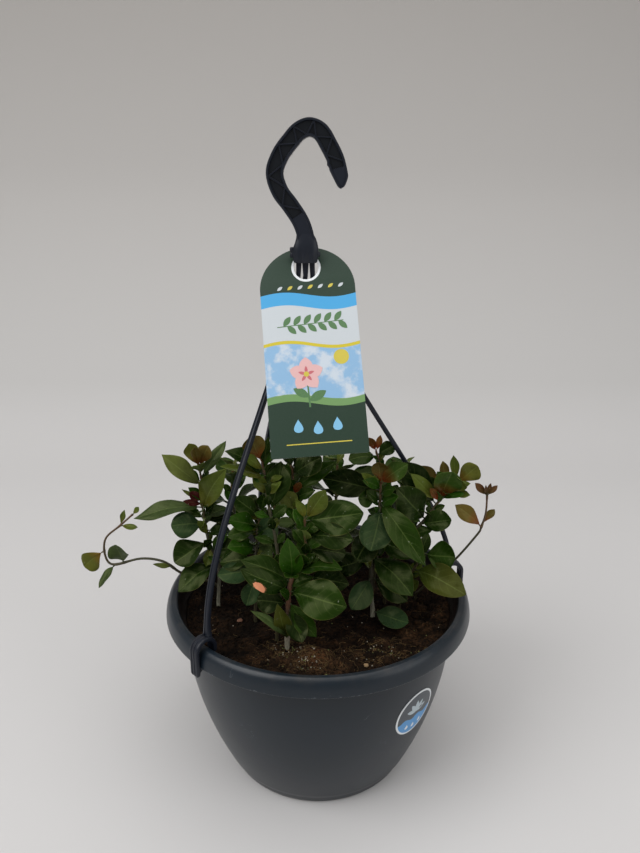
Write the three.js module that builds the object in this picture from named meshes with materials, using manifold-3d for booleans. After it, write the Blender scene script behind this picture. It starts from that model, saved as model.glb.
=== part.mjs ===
// Potted mandevilla: a plastic hanging pot with a water reservoir, its hook and three legs, a hang tag,
// a round label, potting soil and the leafy climbing shoots. Millimetres, +Z up. The origin is the centre
// of the pot's flat base, and a viewer who faces the label side looks along +Y.
import * as THREE from 'three';
import { mergeVertices } from 'three/addons/utils/BufferGeometryUtils.js';
import Module from 'manifold-3d';

const wasm = await Module();
wasm.setup();

// Driving dimensions
const gap = 0.3; // air between pieces that touch
const pot = {
  footRadius: 82, neckRadius: 120.5, neckHeight: 151, wallPower: 2, wall: 2.2, floor: 3,
  rimRadius: 135.2, rimInner: 124.6, rimTop: 164.4, skirtBottom: 150, sides: 36,
};
const soil = {
  top: 144, bottom: 52.3, sideGap: 1,
  mounds: [[-26, -69], [47, -15], [-90, -4]], moundHeight: 3.2, moundSpread: 420,
};
const insert = {
  top: 52, thickness: 2, cupRadius: 15, cupFoot: 11, cupWall: 2, cupRing: 48, cups: 4, cupSides: 8,
};
const hub = { x: -9.8, y: 5, bottom: 447.5, top: 459, halfWidth: 10.2, halfDepth: 4.8, fingerPitch: 5.7 };
const hook = { thickness: 8, halfWidth: 6.6, webRecess: 2.2, flange: 2, plane: 6 };
const leg = { topWidth: 3.4, width: 4.4, depth: 4, finger: 10, footInset: 4.5, footHeight: 170, steps: 15 };
const clip = {
  radius: 8.5, bar: 3.4, width: 9.5, middle: 128.7, spring: 163.5,
  innerEnd: 157.6, lip: 2.6, lipTop: 149.4, tabBottom: 141,
};
const tag = {
  width: 75, below: 150, above: 16.8, archHeight: 34, thickness: 0.7, holeRadius: 9.7,
  lean: 26, roll: 4.4, hole: [-9.4, 7, 443.5],
};
const label = { radius: 21.8, azimuth: -46.4, height: 95.4, lift: 0.5, thickness: 0.6 };
const stem = { sides: 5, bottom: 118.3, holeFloor: 118, holeSides: 6, tipRadius: 0.9 };
const leaf = {
  thick: 0.8, fold: 0.18, wave: 0.05, petioleRadius: 0.9, petiole: 4, petioleShare: 0.12, longBlade: 50,
};

// Colours of the plain solids
const anthracite = { color: 0x31383e, roughness: 0.45, metalness: 0 };
const soilFinish = { color: 0x241710, roughness: 1, metalness: 0 };
const leafFinish = { color: 0x2c4518, roughness: 0.4, metalness: 0 };
const cardFinish = { color: 0x4f6a58, roughness: 0.6, metalness: 0 };
const labelFinish = { color: 0x6a9cc4, roughness: 0.5, metalness: 0 };

const radians = THREE.MathUtils.degToRad;
const vec = (x, y, z) => new THREE.Vector3(x, y, z);
const object = new THREE.Group();

function addPart(name, geometry, finish) {
  const mesh = new THREE.Mesh(geometry, new THREE.MeshStandardMaterial(finish));
  mesh.name = name;
  object.add(mesh);
}

// A closed body from corner points and triangles; the triangles are turned if they point inwards.
function closedBody(points, triangles) {
  let volume = 0;
  for (const [a, b, c] of triangles) volume += points[a].dot(points[b].clone().cross(points[c]));
  const geometry = new THREE.BufferGeometry();
  geometry.setAttribute('position', new THREE.Float32BufferAttribute(points.flatMap((p) => p.toArray()), 3));
  geometry.setIndex(triangles.flatMap(([a, b, c]) => (volume > 0 ? [a, b, c] : [a, c, b])));
  return geometry;
}

function solidOf(geometry) {
  const bare = geometry.clone();
  bare.deleteAttribute('normal');
  bare.deleteAttribute('uv');
  const merged = mergeVertices(bare, 1e-3);
  const index = merged.index.array;
  const corners = [];
  for (let i = 0; i < index.length; i += 3) {
    const [a, b, c] = [index[i], index[i + 1], index[i + 2]];
    if (a !== b && b !== c && a !== c) corners.push(a, b, c);
  }
  return new wasm.Manifold(new wasm.Mesh({
    numProp: 3,
    vertProperties: new Float32Array(merged.attributes.position.array),
    triVerts: new Uint32Array(corners),
  }));
}

function geometryOf(solid) {
  const mesh = solid.getMesh();
  const geometry = new THREE.BufferGeometry();
  geometry.setAttribute('position', new THREE.BufferAttribute(new Float32Array(mesh.vertProperties), 3));
  geometry.setIndex(new THREE.BufferAttribute(new Uint32Array(mesh.triVerts), 1));
  return geometry;
}

const union = (solids) => solids.reduce((all, next) => all.add(next));

// A solid of revolution about +Z from a closed list of [radius, height].
function turned(profile, sides) {
  const geometry = new THREE.LatheGeometry(profile.map(([r, z]) => new THREE.Vector2(r, z)), sides);
  geometry.rotateX(Math.PI / 2);
  return solidOf(geometry);
}

function movedSolid(solid, x, y, z) {
  return solid.translate([x, y, z]);
}

// Pot: one moulding with a bulging wall, an open top and a rolled rim with a skirt
const wallRadius = (z) => pot.footRadius
  + (pot.neckRadius - pot.footRadius) * (1 - (1 - z / pot.neckHeight) ** pot.wallPower);

function makePot() {
  const outside = [4, 18, 38, 66, 104].map((z) => [wallRadius(z), z]);
  const inside = outside.slice(1).reverse().map(([r, z]) => [r - pot.wall, z]);
  const foot = [[0, 0], [wallRadius(0) - 4, 0]];
  const rim = [
    [pot.neckRadius, 146], [123.9, 152.6], [126.8, 161.2], [130.6, 161.2], [132.9, pot.skirtBottom],
    [pot.rimRadius, pot.skirtBottom], [134.4, 156.4], [132.6, 161.6], [129.6, pot.rimTop],
    [126, pot.rimTop], [pot.rimInner, 162.8], [121.5, 152], [pot.neckRadius - pot.wall, 146.8],
  ];
  const inner = [[wallRadius(4) - pot.wall, pot.floor], [0, pot.floor]];
  return turned([...foot, ...outside, ...rim, ...inside, ...inner, [0, 0]], pot.sides);
}

// Reservoir insert: a false floor on wick cups that stand on the pot's floor
function cupCentres() {
  return Array.from({ length: insert.cups }, (_, i) => {
    const turn = radians(45 + (360 / insert.cups) * i);
    return [insert.cupRing * Math.cos(turn), insert.cupRing * Math.sin(turn)];
  });
}

function cupCone(shrink, bottom, top) {
  const [low, high] = [insert.cupFoot - shrink, insert.cupRadius - shrink];
  return turned([[0, bottom], [low, bottom], [high, top], [0, top]], insert.cupSides);
}

function makeInsert() {
  const plateRadius = wallRadius(insert.top - insert.thickness) - pot.wall - 1.5;
  const foot = pot.floor + gap;
  const plate = turned([
    [0, insert.top - insert.thickness], [plateRadius, insert.top - insert.thickness],
    [plateRadius, insert.top], [0, insert.top],
  ], 24);
  const outer = cupCone(0, foot, insert.top);
  const inner = cupCone(insert.cupWall, foot + insert.cupWall, insert.top + 1);
  let body = plate;
  for (const [x, y] of cupCentres()) body = body.add(movedSolid(outer, x, y, 0));
  for (const [x, y] of cupCentres()) body = body.subtract(movedSolid(inner, x, y, 0));
  return body;
}

// Soil: a body with an uneven top, low mounds round the plant plugs, and plain holes for the stems
function soilHeight(x, y) {
  const waves = 0.9 * Math.sin(0.11 * x + 1) * Math.cos(0.09 * y) + 0.5 * Math.sin(0.23 * y + 0.05 * x);
  let height = soil.top + waves;
  for (const [mx, my] of soil.mounds) {
    height += soil.moundHeight * Math.exp(-((x - mx) ** 2 + (y - my) ** 2) / soil.moundSpread);
  }
  return height;
}

function makeSoil(roots) {
  const edge = (z) => wallRadius(z) - pot.wall - soil.sideGap;
  const rings = [38, 76, edge(soil.top)];
  const side = [104, 66, soil.bottom].map((z) => [edge(z), z]);
  const points = [vec(0, 0, soilHeight(0, 0))];
  const ringAt = (radius, heightAt) => {
    for (let i = 0; i < pot.sides; i += 1) {
      const turn = (i / pot.sides) * Math.PI * 2;
      const [x, y] = [radius * Math.cos(turn), radius * Math.sin(turn)];
      points.push(vec(x, y, heightAt(x, y)));
    }
  };
  rings.forEach((radius) => ringAt(radius, soilHeight));
  side.forEach(([radius, z]) => ringAt(radius, () => z));
  points.push(vec(0, 0, soil.bottom));
  const triangles = [];
  const ringCount = rings.length + side.length;
  for (let i = 0; i < pot.sides; i += 1) {
    const next = (i + 1) % pot.sides;
    triangles.push([0, 1 + i, 1 + next]);
    for (let k = 0; k < ringCount - 1; k += 1) {
      const [a, b] = [1 + k * pot.sides, 1 + (k + 1) * pot.sides];
      triangles.push([a + i, b + i, b + next], [a + i, b + next, a + next]);
    }
    const last = 1 + (ringCount - 1) * pot.sides;
    triangles.push([last + i, points.length - 1, last + next]);
  }
  let body = solidOf(closedBody(points, triangles));
  const plug = cupCone(insert.cupWall + 0.5, pot.floor + insert.cupWall + 1, soil.bottom + 2);
  for (const [x, y] of cupCentres()) body = body.add(movedSolid(plug, x, y, 0));
  for (const { x, y, radius } of roots) {
    const holeRadius = (radius + gap) / Math.cos(Math.PI / stem.holeSides);
    const hole = turned([[0, 0], [holeRadius, 0], [holeRadius, 60], [0, 60]], stem.holeSides);
    body = body.subtract(movedSolid(hole, x, y, stem.holeFloor));
  }
  return body;
}

// Hook: an S-shaped beam with recessed webs between its edge flanges and zigzag ribs, ending in the hub
const hookLine = [
  [-8.8, 455], [-9.2, 466], [-13, 478], [-20.8, 490], [-29, 501], [-32.7, 514], [-28, 526.6],
  [-20.2, 536.6], [-13.8, 543], [-5.8, 545.8], [2.2, 542.4], [8.2, 533.4], [13.4, 523.4],
  [16.2, 513], [17.7, 502.6],
].map(([x, z]) => vec(x, 0, z));

function hookSides(inset) {
  const curve = new THREE.CatmullRomCurve3(hookLine, false, 'catmullrom', 0.5);
  const steps = 36;
  const left = [];
  const right = [];
  for (let i = 0; i <= steps; i += 1) {
    const t = i / steps;
    const along = curve.getTangent(t);
    const across = vec(-along.z, 0, along.x);
    const taper = Math.min(1, Math.sqrt(Math.max(0.08, (1 - t) / 0.07)));
    const reach = hook.halfWidth * taper - inset;
    left.push(curve.getPoint(t).addScaledVector(across, reach));
    right.push(curve.getPoint(t).addScaledVector(across, -reach));
  }
  return { left, right };
}

function plateFrom(corners, low, high) {
  const shape = new THREE.Shape(corners.map((p) => new THREE.Vector2(p.x, p.z)));
  const geometry = new THREE.ExtrudeGeometry(shape, { depth: high - low, bevelEnabled: false });
  geometry.rotateX(Math.PI / 2);
  geometry.translate(0, high, 0);
  return solidOf(geometry);
}

function makeHook() {
  const [low, high] = [hook.plane - hook.thickness / 2, hook.plane + hook.thickness / 2];
  const edge = hookSides(0);
  let body = plateFrom([...edge.left, ...edge.right.reverse()], low, high);
  const { left, right } = hookSides(hook.flange);
  for (let k = 5, flip = false; k < 33; k += 3, flip = !flip) {
    const pocket = flip ? [left[k], right[k + 2], right[k]] : [right[k], left[k], left[k + 2]];
    for (const [from, to] of [[low - 1, low + hook.webRecess], [high - hook.webRecess, high + 1]]) {
      body = body.subtract(plateFrom(pocket, from, to));
    }
  }
  const { halfWidth: w, bottom: b, top: t } = hub;
  const hubProfile = [
    [0, b], [w - 1.8, b], [w - 0.6, b + 2.6], [w, b + 7], [w - 1.2, t - 2], [w - 3, t + 3], [w - 3.6, t + 7],
    [0, t + 9],
  ];
  const bell = turned(hubProfile, 14).scale([1, hub.halfDepth / w, 1]);
  const nub = turned([[0, -2.2], [1.7, -1.2], [2.2, 0], [1.7, 1.2], [0, 2.2]], 6);
  return union([
    body, movedSolid(bell, hub.x, hub.y, 0),
    movedSolid(nub, hub.x - w, hub.y, t - 3), movedSolid(nub, hub.x + w - 0.4, hub.y, t - 5),
  ]);
}

// Legs: finger at the hub, a long bent bar, and a clip that arches over the pot's rim.
// splay and drop shape the bend at the top, rise and bulge the bend at the rim.
const legs = [
  { name: 'hanger_leg_front_left', side: -1, y: 8.1, azimuth: 226.5, splay: 0.24, drop: 0.33, rise: 82,
    bulge: 2 },
  { name: 'hanger_leg_right', side: 1, y: 8.1, azimuth: 12, splay: 0, drop: 0.24, rise: 53, bulge: 9 },
  { name: 'hanger_leg_back_left', side: 0, y: 7, azimuth: 118.5, splay: 0.34, drop: 0.3, rise: 65,
    bulge: 20 },
];

function legPath({ side, y, azimuth, splay, drop, rise, bulge }) {
  const outward = vec(Math.cos(radians(azimuth)), Math.sin(radians(azimuth)), 0);
  const start = vec(hub.x + side * hub.fingerPitch, y, hub.bottom - gap);
  const knee = start.clone().add(vec(0, 0, -leg.finger));
  const foot = outward.clone().multiplyScalar(clip.middle - leg.footInset).add(vec(0, 0, leg.footHeight));
  const across = foot.clone().sub(knee).setZ(0);
  const path = new THREE.CurvePath();
  path.add(new THREE.LineCurve3(start, knee));
  path.add(new THREE.CubicBezierCurve3(
    knee,
    knee.clone().addScaledVector(across, splay).add(vec(0, 0, -drop * (knee.z - foot.z))),
    foot.clone().addScaledVector(outward, bulge).add(vec(0, 0, rise)),
    foot,
  ));
  return path;
}

// A bar along a path, narrow in its first ring and turned so that the wide side faces sideways.
function barAlong(path, steps, depth, azimuth) {
  const sideways = vec(-Math.sin(radians(azimuth)), Math.cos(radians(azimuth)), 0);
  const sides = 6;
  const points = [];
  for (let i = 0; i <= steps; i += 1) {
    const t = i / steps;
    const width = i === 0 ? leg.topWidth : leg.width;
    const along = i === 0 ? vec(0, 0, -1) : path.getTangent(t);
    const across = sideways.clone().addScaledVector(along, -along.dot(sideways)).normalize();
    const out = across.clone().cross(along);
    for (let k = 0; k < sides; k += 1) {
      const turn = ((k + 0.5) / sides) * Math.PI * 2;
      points.push(path.getPoint(t)
        .addScaledVector(across, (width / 2) * Math.cos(turn))
        .addScaledVector(out, (depth / 2) * Math.sin(turn)));
    }
  }
  return solidOf(closedBody(points, tubeTriangles(steps + 1, sides)));
}

function tubeTriangles(rings, sides) {
  const triangles = [];
  for (let i = 0; i < rings - 1; i += 1) {
    for (let k = 0; k < sides; k += 1) {
      const next = (k + 1) % sides;
      const [a, b] = [i * sides, (i + 1) * sides];
      triangles.push([a + k, a + next, b + next], [a + k, b + next, b + k]);
    }
  }
  const last = (rings - 1) * sides;
  for (let k = 1; k < sides - 1; k += 1) triangles.push([0, k + 1, k], [last, last + k, last + k + 1]);
  return triangles;
}

function makeClip(azimuth) {
  const [inner, outer] = [clip.radius - clip.bar / 2, clip.radius + clip.bar / 2];
  const { middle, spring, innerEnd, lipTop, tabBottom } = clip;
  const shape = new THREE.Shape();
  shape.moveTo(middle + inner, lipTop);
  shape.lineTo(middle + inner, spring);
  shape.absarc(middle, spring, inner, 0, Math.PI, false);
  shape.lineTo(middle - inner, innerEnd);
  shape.lineTo(middle - outer, innerEnd);
  shape.lineTo(middle - outer, spring);
  shape.absarc(middle, spring, outer, Math.PI, 0, true);
  shape.lineTo(middle + outer, tabBottom + 2);
  shape.lineTo(middle + outer - 1.6, tabBottom);
  shape.lineTo(middle + inner - 0.6, tabBottom + 2.5);
  shape.lineTo(middle + inner - clip.lip, lipTop);
  const across = { depth: clip.width, bevelEnabled: false, curveSegments: 6 };
  const geometry = new THREE.ExtrudeGeometry(shape, across);
  geometry.translate(0, 0, -clip.width / 2);
  geometry.rotateX(Math.PI / 2);
  geometry.rotateZ(radians(azimuth));
  return solidOf(geometry);
}

function makeLeg(form) {
  return barAlong(legPath(form), leg.steps, leg.depth, form.azimuth).add(makeClip(form.azimuth));
}

// Hang tag: an arched card with a round hole that threads over the three fingers
function makeTag() {
  const half = tag.width / 2;
  const shoulder = tag.above - tag.archHeight;
  const shape = new THREE.Shape();
  shape.moveTo(-half, -tag.below);
  shape.lineTo(half, -tag.below);
  shape.lineTo(half, shoulder);
  shape.absellipse(0, shoulder, half, tag.archHeight, 0, Math.PI, false, 0);
  shape.lineTo(-half, -tag.below);
  const hole = new THREE.Path();
  hole.absarc(0, 0, tag.holeRadius, 0, Math.PI * 2, true);
  shape.holes.push(hole);
  const through = { depth: tag.thickness, bevelEnabled: false, curveSegments: 18 };
  const geometry = new THREE.ExtrudeGeometry(shape, through);
  geometry.translate(0, 0, -tag.thickness / 2);
  geometry.rotateZ(radians(tag.roll));
  geometry.rotateX(Math.PI / 2 - radians(tag.lean));
  geometry.translate(...tag.hole);
  return solidOf(geometry);
}

// Round label: a thin disc that follows the pot's curved wall
function makeLabel() {
  const sides = 20;
  const layer = (lift) => {
    const spots = [[0, 0]];
    for (const radius of [label.radius / 2, label.radius]) {
      for (let i = 0; i < sides; i += 1) {
        const turn = (i / sides) * Math.PI * 2;
        spots.push([radius * Math.cos(turn), radius * Math.sin(turn)]);
      }
    }
    return spots.map(([across, up]) => {
      const z = label.height + up * 0.99;
      const radius = wallRadius(z) + lift;
      const turn = radians(label.azimuth) + across / wallRadius(label.height);
      return vec(radius * Math.cos(turn), radius * Math.sin(turn), z);
    });
  };
  const points = [...layer(label.lift), ...layer(label.lift + label.thickness)];
  const face = 1 + 2 * sides;
  const triangles = [];
  for (let i = 0; i < sides; i += 1) {
    const next = (i + 1) % sides;
    const [mid, midNext, edge, edgeNext] = [1 + i, 1 + next, 1 + sides + i, 1 + sides + next];
    const top = [[0, mid, midNext], [mid, edge, edgeNext], [mid, edgeNext, midNext]];
    for (const [a, b, c] of top) triangles.push([a + face, b + face, c + face], [a, c, b]);
    triangles.push([edge, edgeNext, edgeNext + face], [edge, edgeNext + face, edge + face]);
  }
  return closedBody(points, triangles);
}

// Leaf rows: [place along the stem, tip x, tip y, tip z, width, face, arch].
// The place counts the stem's own points from 0. face is the angle by which the upper side leans from
// straight up towards the viewer. arch is the blade's rise over its chord, as a share of its length.
function leafBody(base, [, x, y, z, width, face, arch]) {
  const chord = vec(x, y, z).sub(base);
  const length = chord.length();
  const along = chord.clone().normalize();
  const hint = vec(0, -Math.sin(radians(face)), Math.cos(radians(face)));
  const normal = hint.addScaledVector(along, -hint.dot(along)).normalize();
  const across = normal.clone().cross(along);
  const stalk = Math.min(leaf.petioleShare, leaf.petiole / length);
  const blades = length > leaf.longBlade ? 3 : 2;
  const petiole = { reach: leaf.petioleRadius, thick: leaf.petioleRadius, stalk: true };
  const sections = [{ s: 0, ...petiole }, { s: stalk, ...petiole }];
  for (let i = 1; i <= blades; i += 1) {
    const u = i / (blades + 1) - 0.02;
    const reach = (width / 2) * Math.sin(Math.PI * u ** 1.05) ** 0.68;
    const wave = i % 2 ? leaf.wave : -leaf.wave;
    sections.push({ s: stalk + (1 - stalk) * u, reach, thick: leaf.thick / 2, wave });
  }
  const lifted = (s) => arch * length * 4 * s * (1 - s);
  const spine = (s) => base.clone().addScaledVector(chord, s).addScaledVector(normal, lifted(s));
  const points = [];
  for (const section of sections) {
    for (const layer of [section.thick, -section.thick]) {
      for (const hand of [-1, 0, 1]) {
        const fold = section.stalk ? 0 : section.reach * (leaf.fold * Math.abs(hand) + section.wave * hand);
        const lift = section.stalk && hand !== 0 ? 0 : layer;
        const spot = spine(section.s).addScaledVector(across, hand * section.reach);
        points.push(spot.addScaledVector(normal, fold + lift));
      }
    }
  }
  const tip = points.length;
  points.push(spine(1));
  const triangles = [[3, 0, 1], [3, 1, 4], [4, 1, 2], [4, 2, 5]];
  sections.forEach((_, i) => {
    const a = i * 6;
    const isLast = i === sections.length - 1;
    const b = isLast ? null : a + 6;
    for (const k of [0, 1]) {
      if (isLast) triangles.push([a + k, tip, a + k + 1], [a + k + 3, a + k + 4, tip]);
      else {
        triangles.push([a + k, b + k, b + k + 1], [a + k, b + k + 1, a + k + 1]);
        triangles.push([a + k + 3, b + k + 4, b + k + 3], [a + k + 3, a + k + 4, b + k + 4]);
      }
    }
    if (isLast) triangles.push([a + 3, tip, a], [tip, a + 5, a + 2]);
    else {
      triangles.push([a + 3, b + 3, b], [a + 3, b, a]);
      triangles.push([b + 5, a + 5, a + 2], [b + 5, a + 2, b + 2]);
    }
  });
  return solidOf(closedBody(points, triangles));
}

function stemCurve(path) {
  return new THREE.CatmullRomCurve3(path.map(([x, y, z]) => vec(x, y, z)), false, 'catmullrom', 0.5);
}

function stemBody(path, rootRadius) {
  const curve = stemCurve(path);
  const steps = path.length - 1;
  const points = [];
  const ring = (centre, along, radius) => {
    const across = along.clone().cross(vec(0, 1, 0)).normalize();
    const up = across.clone().cross(along);
    for (let k = 0; k < stem.sides; k += 1) {
      const turn = (k / stem.sides) * Math.PI * 2;
      const [side, rise] = [radius * Math.cos(turn), radius * Math.sin(turn)];
      points.push(centre.clone().addScaledVector(across, side).addScaledVector(up, rise));
    }
  };
  ring(vec(path[0][0], path[0][1], stem.bottom), vec(0, 0, 1), rootRadius);
  for (let i = 0; i <= steps; i += 1) {
    const t = i / steps;
    const along = i === 0 ? vec(0, 0, 1) : curve.getTangent(t);
    ring(curve.getPoint(t), along, THREE.MathUtils.lerp(rootRadius, stem.tipRadius, t));
  }
  return solidOf(closedBody(points, tubeTriangles(points.length / stem.sides, stem.sides)));
}

// A shoot has a stem that stands in the soil and its leaves.
function shootBody({ radius, path, leaves }) {
  const curve = stemCurve(path);
  const blades = leaves.map((row) => leafBody(curve.getPoint(row[0] / (path.length - 1)), row));
  return union([stemBody(path, radius), ...blades]);
}

// Opposite leaf pairs, each pair turned a quarter from the one below, with a seeded scatter.
function seededRandom(seed) {
  let state = seed;
  return () => {
    state = (state * 16807) % 2147483647;
    return state / 2147483647;
  };
}

function pairedLeaves({ path, pairs, first, last, length, width, turn, seed }) {
  const random = seededRandom(seed);
  const scatter = (range) => (random() - 0.5) * 2 * range;
  const curve = stemCurve(path);
  const rows = [];
  for (let i = 0; i < pairs; i += 1) {
    const share = i / (pairs - 1);
    const at = first + (last - first) * share;
    const base = curve.getPoint(at / (path.length - 1));
    const size = 0.86 + 0.3 * Math.sin(Math.PI * share) - 0.34 * share ** 3;
    for (const half of [0, 180]) {
      const azimuth = radians(turn + 90 * i + half + scatter(14));
      const rise = radians(6 + 44 * share + scatter(9));
      const reach = length * size * (1 + scatter(0.1));
      const out = reach * Math.cos(rise);
      const offset = vec(out * Math.cos(azimuth), out * Math.sin(azimuth), reach * Math.sin(rise));
      const tip = base.clone().add(offset);
      rows.push([at, tip.x, tip.y, tip.z, width * size, -8 + scatter(10), 0.1]);
    }
  }
  return rows;
}

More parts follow.
